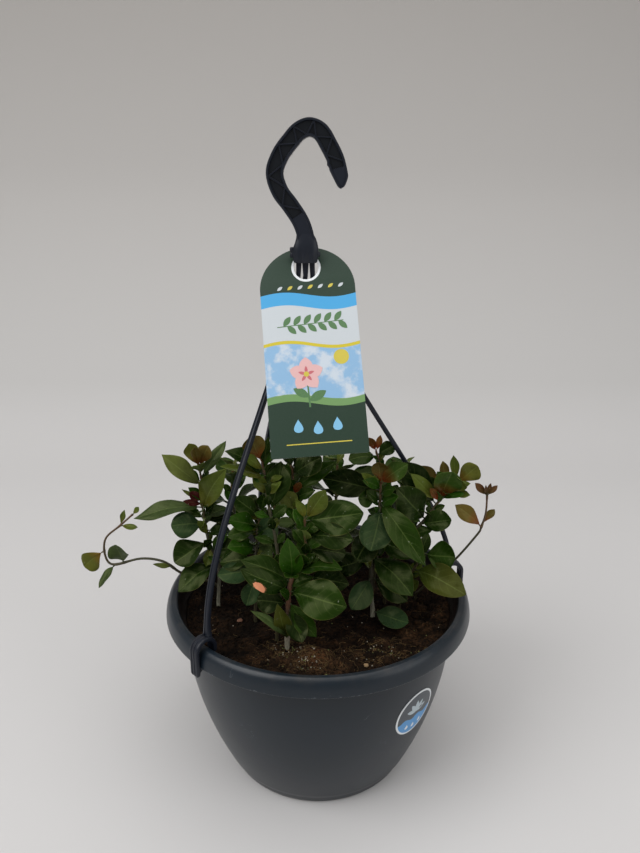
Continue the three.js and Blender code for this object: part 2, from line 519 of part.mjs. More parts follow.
const shoots = {
  shoot_left_tall: {
    radius: 1.9,
    path: [[-90, -7, 150], [-88, -6, 186], [-95, -3, 203], [-99, 0, 222], [-100, 0, 240], [-100, 0, 262],
      [-102, 0, 280]],
    leaves: [
      [5.9, -108, -6, 301, 13, 65, 0.05], [4.9, -131, -8, 292, 17, 45, 0.12],
      [5.3, -79, 10, 298, 11, 50, 0.05], [3.9, -76, -14, 282, 21, 60, 0.08],
      [4.3, -110, -8, 257, 8, 60, 0], [4, -160, -6, 232, 17, 30, 0.14],
      [3.1, -126, -14, 229, 23, 50, 0.08], [2.3, -125, -16, 195, 24, 42, 0.12],
      [2.1, -98, -14, 190, 9, 80, 0], [1.1, -121, -26, 172, 22, 35, 0.1],
      [3.5, -81, 14, 233, 14, 30, 0.05], [3.2, -73, 18, 223, 18, 40, 0.1],
      [5.9, -93, 0, 297, 14, 65, 0.05], [5.8, -102, -12, 300, 9, 80, 0], [4.3, -116, -9, 261, 4, 50, 0],
      [4.15, -115, -11, 251, 6, 50, 0], [2.8, -79, 8, 214, 16, 30, 0.05], [1.7, -69, -6, 207, 21, 35, 0.1],
    ],
  },
  vine_left: {
    radius: 1.6,
    path: [[-92, 16, 150], [-98, 14, 158], [-112, 10, 165], [-126, 8, 172], [-140, 6, 184],
      [-160, 6, 187], [-185, 6, 181], [-192, 6, 190], [-190, 6, 207], [-175, 4, 221], [-163, 3, 232]],
    leaves: [
      [3.5, -147, -4, 187, 6, 30, 0], [5.6, -178, -6, 207, 18, 75, 0], [5.9, -196, -8, 165, 9, 20, 0.1],
      [7.3, -213.5, 2, 180.5, 24, 85, 0], [9, -170, 4, 236, 5, 60, 0], [9, -158, -2, 222, 6, 40, 0],
      [10, -157, 3, 239, 5, 50, 0],
    ],
  },
  shoot_front_left_tall: {
    radius: 1.8,
    path: [[-34, -58, 150], [-31, -58, 184], [-33, -48, 224], [-38, -40, 249], [-42, -33, 269],
      [-43, -30, 280], [-45, -27, 292]],
    leaves: [
      [6, -53, -31, 316, 19, 80, 0], [5.1, -74, -36, 305, 17, 30, 0.1], [4.8, -77, -44, 295, 15, 20, 0.1],
      [3.2, -30, -24, 292, 21, 85, 0.05], [5.4, -40, -20, 312, 8, 70, 0], [5, -35, -22, 290, 7, 60, 0],
      [2.2, -21, -30, 223, 17, 40, 0.05],
    ],
  },
  shoot_front_left_low: {
    radius: 1.7,
    path: [[-55, -26, 150], [-53, -24, 186], [-53, -20, 211], [-51, -18, 229], [-48, -16, 244]],
    leaves: [
      [3.6, -71, -14, 256, 16, 45, 0.1], [3.1, -75, -34, 244, 16, 50, 0.1],
      [2.7, -34, -30, 240, 20, 70, 0.05], [2.1, -75, -38, 221, 17, 45, 0.1],
      [1.6, -37, -40, 214, 12, 30, 0.1], [1.2, -85, -34, 193, 20, 45, 0.1],
      [1, -61, -38, 166, 16, 70, 0.1], [4, -44, -22, 262, 10, 80, 0], [4, -64, -4, 249, 16, 50, 0.1],
      [2.8, -76, -28, 226, 15, 35, 0.1], [2.1, -33, -30, 219, 15, 50, 0.05],
      [1.5, -84, -24, 199, 19, 35, 0.1],
    ],
  },
  shoot_front_main: {
    radius: 2.1,
    path: [[-25, -69, 150], [-24, -68, 181], [-21, -66, 207], [-12, -64, 219], [-9, -63, 230],
      [-10, -62, 244], [-10, -62, 258]],
    leaves: [
      [6, 6, -66, 284, 15, 75, 0.05], [6, -17, -64, 276, 7, 80, 0], [2, -23, -76, 249, 19, 85, 0.05],
      [1.6, 22, -92, 199, 31, 60, 0.08], [2.4, 19, -80, 224, 20, 15, 0.1],
      [1.1, -12, -84, 162, 17, 75, 0], [1.3, -1, -80, 164, 16, 75, 0], [0.15, -32, -76, 192, 14, 80, 0.1],
      [0.2, -53, -78, 187, 9, 30, 0.18], [1.2, -49, -66, 189, 20, 60, 0.05],
      [1.9, -60, -72, 228, 18, 45, 0.1], [1.6, -59, -84, 227, 19, 45, 0.1],
      [5.9, 35, -70, 267, 28, 60, 0.05], [5.3, 29, -78, 255, 24, 60, 0.05],
      [4.2, 22, -62, 228, 20, 50, 0.08],
    ],
  },
  shoot_centre: {
    radius: 1.8,
    path: [[-2, -26, 150], [-4, -26, 168], [-11, -25, 202], [-18, -24, 239], [-20, -22, 262],
      [-21, -20, 285]],
    leaves: [
      [4.7, 3, -28, 297, 20, 50, 0.1], [4.2, 16, -20, 291, 16, 40, 0.05], [4, -14, -26, 274, 7, 80, 0],
      [3.3, -29, -34, 270, 15, 80, 0], [5, -27, -16, 300, 10, 70, 0], [5, -8, -6, 301, 10, 60, 0],
      [2.2, 24, -34, 214, 22, 50, 0.1], [1.6, 26, -40, 188, 22, 60, 0.1], [4.4, 12, 16, 268, 14, 40, 0.1],
      [2.9, -34, -22, 236, 11, 35, 0], [2.3, -32, -10, 216, 20, 40, 0.1], [1.9, 10, -12, 197, 22, 40, 0.1],
    ],
  },
  shoot_right_front: {
    radius: 2,
    path: [[48, -24, 150], [46, -20, 183], [46, -18, 213], [51, -20, 242], [52, -20, 258], [52, -20, 270]],
    leaves: [
      [4.5, 3, -6, 270, 24, 70, 0.05], [4, 33, -30, 262, 15, 75, 0], [3.8, 62, -27, 262, 12, 70, 0],
      [4.7, 35, -30, 284, 9, 50, 0], [5, 49, -24, 291, 14, 80, 0], [5, 73, -28, 291, 16, 55, 0.1],
      [3.4, 43, -46, 222, 27, 70, 0.05], [1.6, 78, -52, 184, 26, 50, 0.1], [1, 76, -38, 170, 20, 50, 0.1],
      [0.05, 77, -42, 152, 22, 30, 0.05], [1, 28, -44, 166, 21, 75, 0.05],
      [2.4, 32, -42, 211, 23, 65, 0.05], [3.7, 88, -50, 210, 22, 60, 0.18],
      [2.2, 81, -34, 210, 19, 50, 0.08], [1.6, 13, -24, 193, 22, 45, 0.1],
    ],
  },
  shoot_right_back_tall: {
    radius: 1.8,
    path: [[50, 12, 150], [53, 10, 183], [60, 20, 237], [57, 28, 263], [52, 31, 281]],
    leaves: [
      [3.7, 27, 22, 276, 18, 45, 0.08], [3, 30, 14, 267, 13, 50, 0.05], [3.8, 68, 28, 288, 14, 50, 0.05],
      [4, 45, 28, 295, 7, 70, 0], [4, 56, 35, 295, 6, 70, 0], [2.2, 34, 52, 250, 22, -20, 0.1],
      [2.4, 77, 24, 224, 16, 40, 0.05],
    ],
  },
  shoot_right_main: {
    radius: 1.9,
    path: [[60, -3, 150], [62, -4, 165], [67, -5, 190], [78, -4, 212], [93, -2, 229], [103, 0, 243],
      [111, 0, 253], [118, 0, 263]],
    leaves: [
      [4.05, 66, -14, 264, 27, 60, 0.1], [5.3, 78, -8, 275, 13, 50, 0], [5.4, 113, -10, 277, 24, 80, 0],
      [5, 71, 3, 281, 24, 60, 0.05], [5.9, 88, 8, 276, 12, 60, 0], [6.2, 108, 9, 280, 9, 60, 0],
      [5.3, 95, -9, 262, 7, 80, 0], [6, 130, -8, 255, 9, 40, 0], [7, 116, 4, 287, 8, 70, 0],
      [7, 135, -6, 281, 19, 80, 0], [6.9, 122, -15, 270, 14, 75, 0], [3.75, 114, -14, 235, 19, 60, 0.05],
    ],
  },
  shoot_right_low: {
    radius: 1.8,
    path: [[72, -14, 150], [74, -16, 165], [79, -20, 182], [85, -23, 198], [90, -24, 209]],
    leaves: [
      [3.95, 115, -34, 210, 27, 75, 0.05], [2.6, 122, -52, 185, 24, 50, 0.12],
    ],
  },
  sprig_right: {
    radius: 1.4,
    path: [[90, 8, 150], [95, 6, 156], [108, 3, 174], [123, 0, 190], [140, -2, 215], [143, -2, 222],
      [146, -2, 236], [146, -2, 252]],
    leaves: [
      [5, 117, -10, 247, 14, 60, 0.1], [5.2, 155, 3, 237, 7, 50, 0], [7, 134, -5, 265, 8, 60, 0],
      [7, 143, -7, 264, 4, 60, 0], [7, 149, 0, 263, 5, 60, 0], [7, 156, 2, 260, 6, 60, 0],
    ],
  },
};

// Shoots on the far side follow the plant's own habit by rule.
const farShoots = {
  shoot_far_left: {
    path: [[-72, 40, 150], [-78, 48, 190], [-82, 52, 228], [-80, 52, 256]], turn: 20, seed: 11, length: 38,
  },
  shoot_far_left_low: {
    path: [[-40, 66, 150], [-42, 74, 180], [-44, 80, 206]], turn: 60, seed: 23, length: 40,
  },
  shoot_far_centre: {
    path: [[-18, 28, 150], [-20, 35, 190], [-24, 39, 230], [-25, 41, 268]], turn: 80, seed: 37, length: 36,
  },
  shoot_far_middle: {
    path: [[18, 78, 150], [18, 86, 184], [18, 91, 220], [19, 93, 244]], turn: 30, seed: 41, length: 40,
  },
  shoot_far_right: {
    path: [[70, 62, 150], [74, 68, 186], [80, 70, 220], [82, 70, 246]], turn: 10, seed: 59, length: 38,
  },
};

for (const [name, { path, turn, seed, length }] of Object.entries(farShoots)) {
  const leaves = pairedLeaves({
    path, pairs: path.length + 1, first: 0.45, last: path.length - 1.05, length, width: 23, turn, seed,
  });
  shoots[name] = { radius: 1.8, path, leaves };
}

const roots = Object.values(shoots).map(({ path, radius }) => ({ x: path[0][0], y: path[0][1], radius }));

addPart('pot', geometryOf(makePot()), anthracite);
addPart('reservoir_insert', geometryOf(makeInsert()), { color: 0x1d2124, roughness: 0.6, metalness: 0 });
addPart('potting_soil', geometryOf(makeSoil(roots)), soilFinish);
addPart('hanger_hook', geometryOf(makeHook()), anthracite);
for (const form of legs) addPart(form.name, geometryOf(makeLeg(form)), anthracite);
addPart('hang_tag', geometryOf(makeTag()), cardFinish);
addPart('pot_label', makeLabel(), labelFinish);
for (const [name, shoot] of Object.entries(shoots)) addPart(name, geometryOf(shootBody(shoot)), leafFinish);

export default object;
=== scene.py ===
import math
import random

import bmesh
import bpy
from mathutils import Matrix, Vector, noise


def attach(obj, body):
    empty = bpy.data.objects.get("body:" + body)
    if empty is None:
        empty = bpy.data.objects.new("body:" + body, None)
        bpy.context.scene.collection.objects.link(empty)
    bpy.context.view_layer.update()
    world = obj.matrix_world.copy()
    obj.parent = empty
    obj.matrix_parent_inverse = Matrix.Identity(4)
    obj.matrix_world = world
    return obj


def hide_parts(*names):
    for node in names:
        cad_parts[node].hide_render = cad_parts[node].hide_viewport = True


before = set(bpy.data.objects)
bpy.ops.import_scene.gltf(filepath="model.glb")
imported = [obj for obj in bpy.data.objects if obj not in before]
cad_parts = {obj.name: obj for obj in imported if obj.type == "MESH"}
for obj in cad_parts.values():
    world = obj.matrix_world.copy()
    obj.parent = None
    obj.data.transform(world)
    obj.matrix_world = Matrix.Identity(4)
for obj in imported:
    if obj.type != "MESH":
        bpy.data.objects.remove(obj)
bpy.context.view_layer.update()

mm = 0.001  # the values below are millimetres and degrees; meshes are made in metres


def paint(red, green, blue):
    # A screen colour from 0 to 255 as the linear colour that a shader takes.
    def linear(value):
        share = value / 255
        return share / 12.92 if share <= 0.04045 else ((share + 0.055) / 1.055) ** 2.4
    return (linear(red), linear(green), linear(blue), 1.0)


def blend(a, b, share):
    return a + (b - a) * share


def clamped(value):
    return min(1.0, max(0.0, value))


def roundTurns(count):
    return [2 * math.pi * i / count for i in range(count)]


def circle(radius, height, count):
    return [Vector((radius * math.cos(t), radius * math.sin(t), height)) for t in roundTurns(count)]


def compass(degrees):
    turn = math.radians(degrees)
    return Vector((math.cos(turn), math.sin(turn), 0))


def headed(azimuth, rise, reach):
    out = reach * math.cos(rise)
    return Vector((out * math.cos(azimuth), out * math.sin(azimuth), reach * math.sin(rise)))


# Gathers points, faces and what the materials read at each point, and turns them into one piece.
class Form:
    def __init__(self, **markWidths):
        self.points = []
        self.faces = []
        self.finishes = []
        self.widths = markWidths
        self.marks = {name: [] for name in markWidths}

    def add(self, points, faces, finish=0, **marks):
        start = len(self.points)
        self.points += points
        self.faces += [tuple(start + i for i in face) for face in faces]
        self.finishes += [finish] * len(faces)
        for name, width in self.widths.items():
            value = marks.get(name, (0.0,) * width)
            self.marks[name] += value if isinstance(value, list) else [value] * len(points)

    def piece(self, name, nodes, materials, sharpAngle=40.0):
        mesh = bpy.data.meshes.new(name)
        mesh.from_pydata([tuple(c * mm for c in point) for point in self.points], [], self.faces)
        mesh.polygons.foreach_set("material_index", self.finishes)
        for mark, width in self.widths.items():
            layer = mesh.attributes.new(mark, "FLOAT_COLOR" if width == 4 else "FLOAT_VECTOR", "POINT")
            key = "color" if width == 4 else "vector"
            layer.data.foreach_set(key, [c for value in self.marks[mark] for c in value])
        for material in materials:
            mesh.materials.append(material)
        facing = bmesh.new()
        facing.from_mesh(mesh)
        bmesh.ops.recalc_face_normals(facing, faces=facing.faces)
        facing.to_mesh(mesh)
        facing.free()
        mesh.shade_smooth()
        mesh.set_sharp_from_angle(angle=math.radians(sharpAngle))
        thing = bpy.data.objects.new(name, mesh)
        bpy.context.scene.collection.objects.link(thing)
        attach(thing, "root")
        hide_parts(*nodes)
        return thing


def lofted(rings, looped=True):
    # Faces between rows of points; a row of one point is a tip.
    points, faces, starts = [], [], []
    for ring in rings:
        starts.append(len(points))
        points += ring
    for k in range(len(rings) - 1):
        sizes = (len(rings[k]), len(rings[k + 1]))
        count = max(sizes)
        for i in range(count if looped else count - 1):
            j = (i + 1) % count
            near = [starts[k] + (n if sizes[0] > 1 else 0) for n in (i, j)]
            far = [starts[k + 1] + (n if sizes[1] > 1 else 0) for n in (j, i)]
            faces.append(tuple(dict.fromkeys(near + far)))
    return points, faces


def capped(rings):
    points, faces = lofted(rings)
    count = len(rings[0])
    last = len(points) - count
    return points, faces + [tuple(range(count)), tuple(range(last, last + count))]


def roundedOutline(corners, steps=4):
    # Corners are (across, up, rounding, ...); each becomes a short curve. Extra values ride along.
    outline = []
    for k, (x, y, cut, *extra) in enumerate(corners):
        if k in (0, len(corners) - 1) or cut == 0:
            outline.append((x, y, *extra))
            continue
        here = Vector((x, y))
        before = Vector(corners[k - 1][:2]) - here
        after = Vector(corners[k + 1][:2]) - here
        start = here + before.normalized() * min(cut, before.length * 0.48)
        end = here + after.normalized() * min(cut, after.length * 0.48)
        for i in range(steps + 1):
            t = i / steps
            spot = start * (1 - t) ** 2 + here * 2 * t * (1 - t) + end * t * t
            outline.append((spot.x, spot.y, *extra))
    return outline


def turnedRings(outline, sides):
    return [[Vector((0, 0, height))] if radius < 1e-6 else circle(radius, height, sides)
            for radius, height, *_ in outline]


def smoothPoint(path, at):
    # A point of the smooth curve through path; at counts the path's own points from 0.
    k = min(int(at), len(path) - 2)
    t = at - k
    a, b = Vector(path[k]), Vector(path[k + 1])
    before = Vector(path[k - 1]) if k else a * 2 - b
    after = Vector(path[k + 2]) if k + 2 < len(path) else b * 2 - a
    slopeA, slopeB = (b - before) / 2, (after - a) / 2
    bend = (b - a) * 3 - slopeA * 2 - slopeB
    return a + slopeA * t + bend * t * t + ((a - b) * 2 + slopeA + slopeB) * t ** 3


def tubeRings(centres, radii, sides, reference=Vector((0, 1, 0))):
    rings = []
    for k, (centre, radius) in enumerate(zip(centres, radii)):
        along = (centres[min(k + 1, len(centres) - 1)] - centres[max(k - 1, 0)]).normalized()
        across = along.cross(reference).normalized()
        up = across.cross(along)
        rings.append([centre + across * radius * math.cos(t) + up * radius * math.sin(t)
                      for t in roundTurns(sides)])
    return rings


# Shader helpers
def feed(tree, node, inputs):
    for key, value in inputs.items():
        if isinstance(value, bpy.types.NodeSocket):
            tree.links.new(value, node.inputs[key])
        else:
            node.inputs[key].default_value = value


def put(tree, kind, inputs=None, **settings):
    node = tree.nodes.new("ShaderNode" + kind)
    for key, value in settings.items():
        setattr(node, key, value)
    feed(tree, node, inputs or {})
    return node


def calc(tree, operation, a, b=0.0):
    return put(tree, "Math", {0: a, 1: b}, operation=operation).outputs[0]


def times(tree, a, b):
    return calc(tree, "MULTIPLY", a, b)


def plus(tree, a, b):
    return calc(tree, "ADD", a, b)


def inverse(tree, share):
    return calc(tree, "SUBTRACT", 1.0, share)


def mixed(tree, share, a, b, way="MIX"):
    inputs = {0: share, 6: a, 7: b}
    return put(tree, "Mix", inputs, data_type="RGBA", blend_type=way).outputs[2]


def ramped(tree, value, stops, way="LINEAR"):
    node = put(tree, "ValToRGB", {0: value})
    node.color_ramp.interpolation = way
    elements = node.color_ramp.elements
    while len(elements) < len(stops):
        elements.new(0.5)
    for element, (place, colour) in zip(elements, stops):
        element.position = place
        element.color = colour
    return node.outputs[0]


def stepped(tree, value, low, high):
    # 0 below low, 1 above high, smooth between.
    inputs = {0: value, 1: low, 2: high, 3: 0.0, 4: 1.0}
    return put(tree, "MapRange", inputs, interpolation_type="SMOOTHSTEP").outputs[0]


def waved(tree, value, pitch, size):
    return times(tree, calc(tree, "SINE", times(tree, value, pitch)), size)


def fromMiddle(tree, split):
    flat = put(tree, "CombineXYZ", {0: split["X"], 1: split["Y"]}).outputs[0]
    return put(tree, "VectorMath", {0: flat}, operation="LENGTH").outputs["Value"]


def noiseOf(tree, where, scale, detail=4.0, roughness=0.55):
    inputs = {"Vector": where, "Scale": scale, "Detail": detail, "Roughness": roughness}
    return put(tree, "TexNoise", inputs).outputs[0]


def newGroup(name, inputs, outputs):
    tree = bpy.data.node_groups.new(name, "ShaderNodeTree")
    kinds = {"float": "NodeSocketFloat", "vector": "NodeSocketVector", "colour": "NodeSocketColor"}
    for direction, sockets in (("INPUT", inputs), ("OUTPUT", outputs)):
        for label, kind in sockets.items():
            tree.interface.new_socket(label, in_out=direction, socket_type=kinds[kind])
    return tree, tree.nodes.new("NodeGroupInput").outputs, tree.nodes.new("NodeGroupOutput").inputs


def useGroup(tree, group, inputs):
    node = tree.nodes.new("ShaderNodeGroup")
    node.node_tree = group
    feed(tree, node, inputs)
    return node.outputs


def newMaterial(name, **constants):
    material = bpy.data.materials.new(name)
    material.use_nodes = True
    shader = material.node_tree.nodes["Principled BSDF"]
    for label, value in constants.items():
        shader.inputs[label.replace("_", " ")].default_value = value
    return material, material.node_tree, shader.inputs


def objectPlace(tree):
    return put(tree, "TexCoord").outputs["Object"]


def axes(tree, vector):
    return put(tree, "SeparateXYZ", {0: vector}).outputs


def readMark(tree, name, output="Vector"):
    return put(tree, "Attribute", attribute_name=name, attribute_type="GEOMETRY").outputs[output]


def bumped(tree, shader, height, strength, distance):
    inputs = {"Height": height, "Strength": strength, "Distance": distance * mm}
    tree.links.new(put(tree, "Bump", inputs).outputs[0], shader["Normal"])


def makeMouldGrain():
    # Fine moulded texture, slow cloudiness and small scratches, by place on the object.
    tree, given, result = newGroup(
        "mouldGrain", {"Grain": "float", "Clouds": "float"},
        {"Height": "float", "Clouding": "float", "Scratches": "float"})
    where = objectPlace(tree)
    fine = noiseOf(tree, where, given["Grain"], 2.0)
    cloudy = noiseOf(tree, where, given["Clouds"], 3.0)
    stretched = put(tree, "Mapping", {"Vector": where, "Rotation": (0.3, 0.5, 0.9), "Scale": (9, 70, 30)})
    waves = noiseOf(tree, stretched.outputs[0], 3.0, 1.0, 0.4)
    apart = calc(tree, "ABSOLUTE", calc(tree, "SUBTRACT", waves, 0.5))
    lines = inverse(tree, stepped(tree, apart, 0.0015, 0.004))
    scratch = times(tree, lines, stepped(tree, noiseOf(tree, where, 45.0, 2.0), 0.6, 0.68))
    tree.links.new(fine, result["Height"])
    tree.links.new(cloudy, result["Clouding"])
    tree.links.new(scratch, result["Scratches"])
    return tree


def makeEdgeScuff():
    # Broken pale rubbing along edges that the mesh marks.
    tree, given, result = newGroup("edgeScuff", {"Edge": "float", "Scale": "float"}, {"Scuff": "float"})
    where = objectPlace(tree)
    patchy = noiseOf(tree, where, given["Scale"], 5.0, 0.65)
    amount = plus(tree, times(tree, given["Edge"], 0.42), patchy)
    tree.links.new(stepped(tree, amount, 0.86, 1.02), result["Scuff"])
    return tree


def makeDustFilm():
    # Pale dust where a surface looks up.
    tree, given, result = newGroup("dustFilm", {"Scale": "float"}, {"Dust": "float"})
    where = objectPlace(tree)
    upward = axes(tree, put(tree, "NewGeometry").outputs["Normal"])["Z"]
    patchy = stepped(tree, noiseOf(tree, where, given["Scale"], 6.0, 0.7), 0.42, 0.75)
    tree.links.new(times(tree, stepped(tree, upward, 0.1, 0.9), patchy), result["Dust"])
    return tree


mouldGrain = makeMouldGrain()
edgeScuff = makeEdgeScuff()
dustFilm = makeDustFilm()


# Moulded plastic: what every moulding shares; each piece has its own look beside it
# Each look's recess colour is the colour of painted shade in recesses.
plastic = {
    "scuffScale": 420.0, "dustScale": 55.0, "dustTint": (122, 108, 92),
    "cloudedRoughness": 0.12, "scuffedRoughness": 0.2,
}


def makePlastic(name, look):
    material, tree, shader = newMaterial(name, IOR=look["ior"])
    grain = useGroup(tree, mouldGrain, {"Grain": look["grain"], "Clouds": look["clouds"]})
    # The mark holds edge rubbing in its first value and painted shade for recesses in its second.
    marked = axes(tree, readMark(tree, "wear"))
    edge, recess = marked["X"], marked["Y"]
    scuff = useGroup(tree, edgeScuff, {"Edge": edge, "Scale": plastic["scuffScale"]})["Scuff"]
    dust = useGroup(tree, dustFilm, {"Scale": plastic["dustScale"]})["Dust"]
    colour = mixed(tree, grain["Clouding"], paint(*look["dark"]), paint(*look["light"]))
    marks = times(tree, calc(tree, "MAXIMUM", scuff, grain["Scratches"]), look["scuff"])
    colour = mixed(tree, marks, colour, paint(*look["scuffColour"]))
    dusty = times(tree, dust, look["dust"])
    colour = mixed(tree, dusty, colour, paint(*plastic["dustTint"]))
    # Painted shade: recesses darken towards the look's recess colour.
    colour = mixed(tree, recess, colour, paint(*look["recess"]))
    tree.links.new(colour, shader["Base Color"])
    spread = plastic["cloudedRoughness"]
    rough = calc(tree, "MULTIPLY_ADD", grain["Clouding"], spread)
    rough.node.inputs[2].default_value = look["roughness"] - spread / 2
    scuffed = times(tree, marks, plastic["scuffedRoughness"])
    tree.links.new(plus(tree, rough, scuffed), shader["Roughness"])
    bumped(tree, shader, grain["Height"], look["bump"], 0.1)
    return material


# Pot
pot = {
    "footRadius": 82.0, "neckRadius": 120.5, "neckHeight": 151.0, "wallPower": 2.0, "wall": 2.2,
    "floor": 3.0, "step": 10.5, "stepDepth": 0.35, "sides": 180,
    # Corners of the turned outline: radius, height, rounding and rubbing.
    "foot": [(0, 1.5, 0, 0), (66, 1.5, 1, 0), (68.5, 0, 1, 0.6), (79.5, 0, 1.6, 0.9)],
    "rim": [
        (120.5, 146, 2, 0), (123.9, 152.6, 2, 0), (126.8, 161.2, 1, 0), (130.6, 161.2, 1, 0),
        (132.9, 150, 0.5, 0.4), (135.2, 150, 0.7, 0.8), (135.0, 152.4, 0.5, 0.5), (134.4, 156.4, 3, 0.1),
        (132.6, 161.6, 2.2, 0.1), (129.9, 164.4, 1.1, 0.55), (126.2, 164.1, 1.2, 0.2),
        (124.6, 162.4, 1.6, 0.1), (121.5, 152, 3, 0), (118.3, 146.8, 2, 0),
    ],
    "outsideHeights": [2.4, 5, 8, 10, 11, 14] + [18 + 8 * i for i in range(16)],
    "insideHeights": [138, 120, 100, 80, 60, 40, 24, 12, 5],
    "shadeLine": 163.2,
    "look": {
        "dark": (15, 24, 31), "light": (22, 32, 41), "scuffColour": (132, 140, 146), "scuff": 0.3,
        "recess": (26, 19, 14), "roughness": 0.33, "ior": 1.42, "grain": 900.0, "clouds": 16.0, "bump": 0.12,
        "dust": 0.12,
    },
}


def wallRadius(z):
    rise = 1 - (1 - min(z, pot["neckHeight"]) / pot["neckHeight"]) ** pot["wallPower"]
    return pot["footRadius"] + (pot["neckRadius"] - pot["footRadius"]) * rise


def makePot():
    wall = []
    for z in pot["outsideHeights"]:
        inset = pot["stepDepth"] if z < pot["step"] else 0
        wall.append((wallRadius(z) - inset, z, 0, 0.25 if abs(z - pot["step"]) < 1.5 else 0))
    inside = [(wallRadius(z) - pot["wall"], z, 0, 0) for z in pot["insideHeights"]]
    floor = [(wallRadius(pot["floor"]) - 4, pot["floor"], 0, 0), (0, pot["floor"], 0, 0)]
    outline = roundedOutline(pot["foot"] + wall + pot["rim"] + inside + floor)
    points, faces = lofted(turnedRings(outline, pot["sides"]))
    wear, top = [], max(range(len(outline)), key=lambda k: outline[k][1])
    for k, (radius, z, rub) in enumerate(outline):
        # Painted shade: the inner wall darkens below the shade line, just under the rim, to the recess
        # colour.
        innerWallShade = clamped((pot["shadeLine"] - z) / 2.5) * 0.85 if k > top else 0.0
        wear += [(rub, innerWallShade, 0.0)] * (1 if radius < 1e-6 else pot["sides"])
    form = Form(wear=3)
    form.add(points, faces, wear=wear)
    return form.piece("pot_body", ["pot"], [makePlastic("potPlastic", pot["look"])])


makePot()
print("pot made")

insert = {
    "look": {
        "dark": (28, 32, 35), "light": (38, 42, 45), "scuffColour": (110, 112, 112), "scuff": 0.2,
        "recess": (14, 15, 16), "roughness": 0.55, "ior": 1.5, "grain": 700.0, "clouds": 20.0, "bump": 0.12,
        "dust": 0.1,
    },
}


def finishInsert():
    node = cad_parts["reservoir_insert"]
    node.data.materials.clear()
    node.data.materials.append(makePlastic("insertPlastic", insert["look"]))


finishInsert()

# Soil
soil = {
    "top": 144.0, "bottom": 52.3, "mounds": [(-26, -69), (47, -15), (-90, -4)], "moundHeight": 3.2,
    "moundSpread": 420.0, "plugs": [(-25, -76), (50, -72), (-6, -88)],
    "pale": [(-24, -86), (12, -92), (52, -70), (-42, -82), (97, -16), (84, -44)],
    "clump": (-4, -79, 12.5), "clumpHeight": 4.5, "bank": 2.6, "bankFrom": 96.0, "bankWidth": 18.0,
    "reach": 118.0, "calmWidth": 14.0, "rings": 76, "sides": 240,
    "roughness": 2.3, "coarse": 13.0, "fine": 3.2,
    "crumbs": 2600, "clods": 110, "fibres": 900, "grains": 260, "seed": 5,
    "clodSize": (2.0, 4.6), "plugClodSize": (3.0, 6.0), "grainSize": (0.25, 0.75), "mossyShare": 0.45,
    "fibreLength": (2.0, 9.0), "fibreThickness": (0.08, 0.2),
    "chips": [(38, -91, 2.6, (0.85, 0.62, 0.42, 1)), (-68, -29, 2.2, (0.62, 0.34, 0.28, 1))],
    "dark": (12, 8, 4), "light": (55, 39, 24), "wet": (8, 5, 3),
    "fibre": [(78, 60, 40), (126, 108, 78)], "grain": [(150, 142, 124), (206, 200, 184)],
    "mossyGrain": (0.30, 0.36, 0.16, 1.0),
    # tone: painted shade in the hollows and painted light on the lumps, beside the pale plugs and the reddish
    # clump.
    "tone": {"hollow": 0.22, "lump": 0.9, "plug": 1.5, "plugSpread": 320, "clump": 0.9},
    # Red, green and blue shares: of the bed, of what the clump adds to it, of crumbs and of clods.
    "warmth": (1.06, 0.96, 0.92), "clay": (1.9, 1.25, 1.0),
    "crumbWarmth": (1.06, 0.96, 0.9), "clodWarmth": (1.06, 0.97, 0.92),
}


def soilHeight(x, y):
    height = soil["top"] + 0.9 * math.sin(0.11 * x + 1) * math.cos(0.09 * y)
    height += 0.5 * math.sin(0.23 * y + 0.05 * x)
    for moundX, moundY in soil["mounds"]:
        apart = (x - moundX) ** 2 + (y - moundY) ** 2
        height += soil["moundHeight"] * math.exp(-apart / soil["moundSpread"])
    return height


def clumpShare(x, y):
    # One smoother reddish clump in front of the plants.
    clumpX, clumpY, reach = soil["clump"]
    return math.exp(-(((x - clumpX) ** 2 + (y - clumpY) ** 2) / reach ** 2) ** 1.6)


def roughSoil(x, y):
    spot, middle = Vector((x, y, 3.0)), math.hypot(x, y)
    coarse = noise.fractal(spot / soil["coarse"], 0.9, 2.1, 4)
    fine = noise.fractal(spot / soil["fine"], 0.8, 2.1, 3)
    near = clamped((soil["reach"] - middle) / soil["calmWidth"])
    banked = soil["bank"] * clamped((middle - soil["bankFrom"]) / soil["bankWidth"]) ** 2
    rough = soil["roughness"] * (0.9 * coarse * near + 0.3 * fine)
    return soilHeight(x, y) + rough + banked + soil["clumpHeight"] * clumpShare(x, y)


def soilShade(x, y):
    # Painted light on the lumps, pale peat round the plugs and painted shade, nearly black, in the hollows.
    spot, tone = Vector((x, y, 3.0)), soil["tone"]
    lump = 0.5 + 0.6 * noise.fractal(spot / soil["coarse"], 0.9, 2.1, 4) + 0.25 * noise.noise(spot / 2.6)
    plug = sum(math.exp(-((x - mx) ** 2 + (y - my) ** 2) / tone["plugSpread"]) for mx, my in soil["pale"])
    shade = tone["hollow"] + tone["lump"] * clamped(lump) ** 2
    shade += tone["plug"] * min(1.0, plug) * clamped(lump + 0.1) ** 2
    clump = clumpShare(x, y) * tone["clump"]
    return (*[shade * warm + clay * clump for warm, clay in zip(soil["warmth"], soil["clay"])], 1.0)


def warmed(shade, warmth):
    return (*[shade * warm for warm in warmth], 1.0)


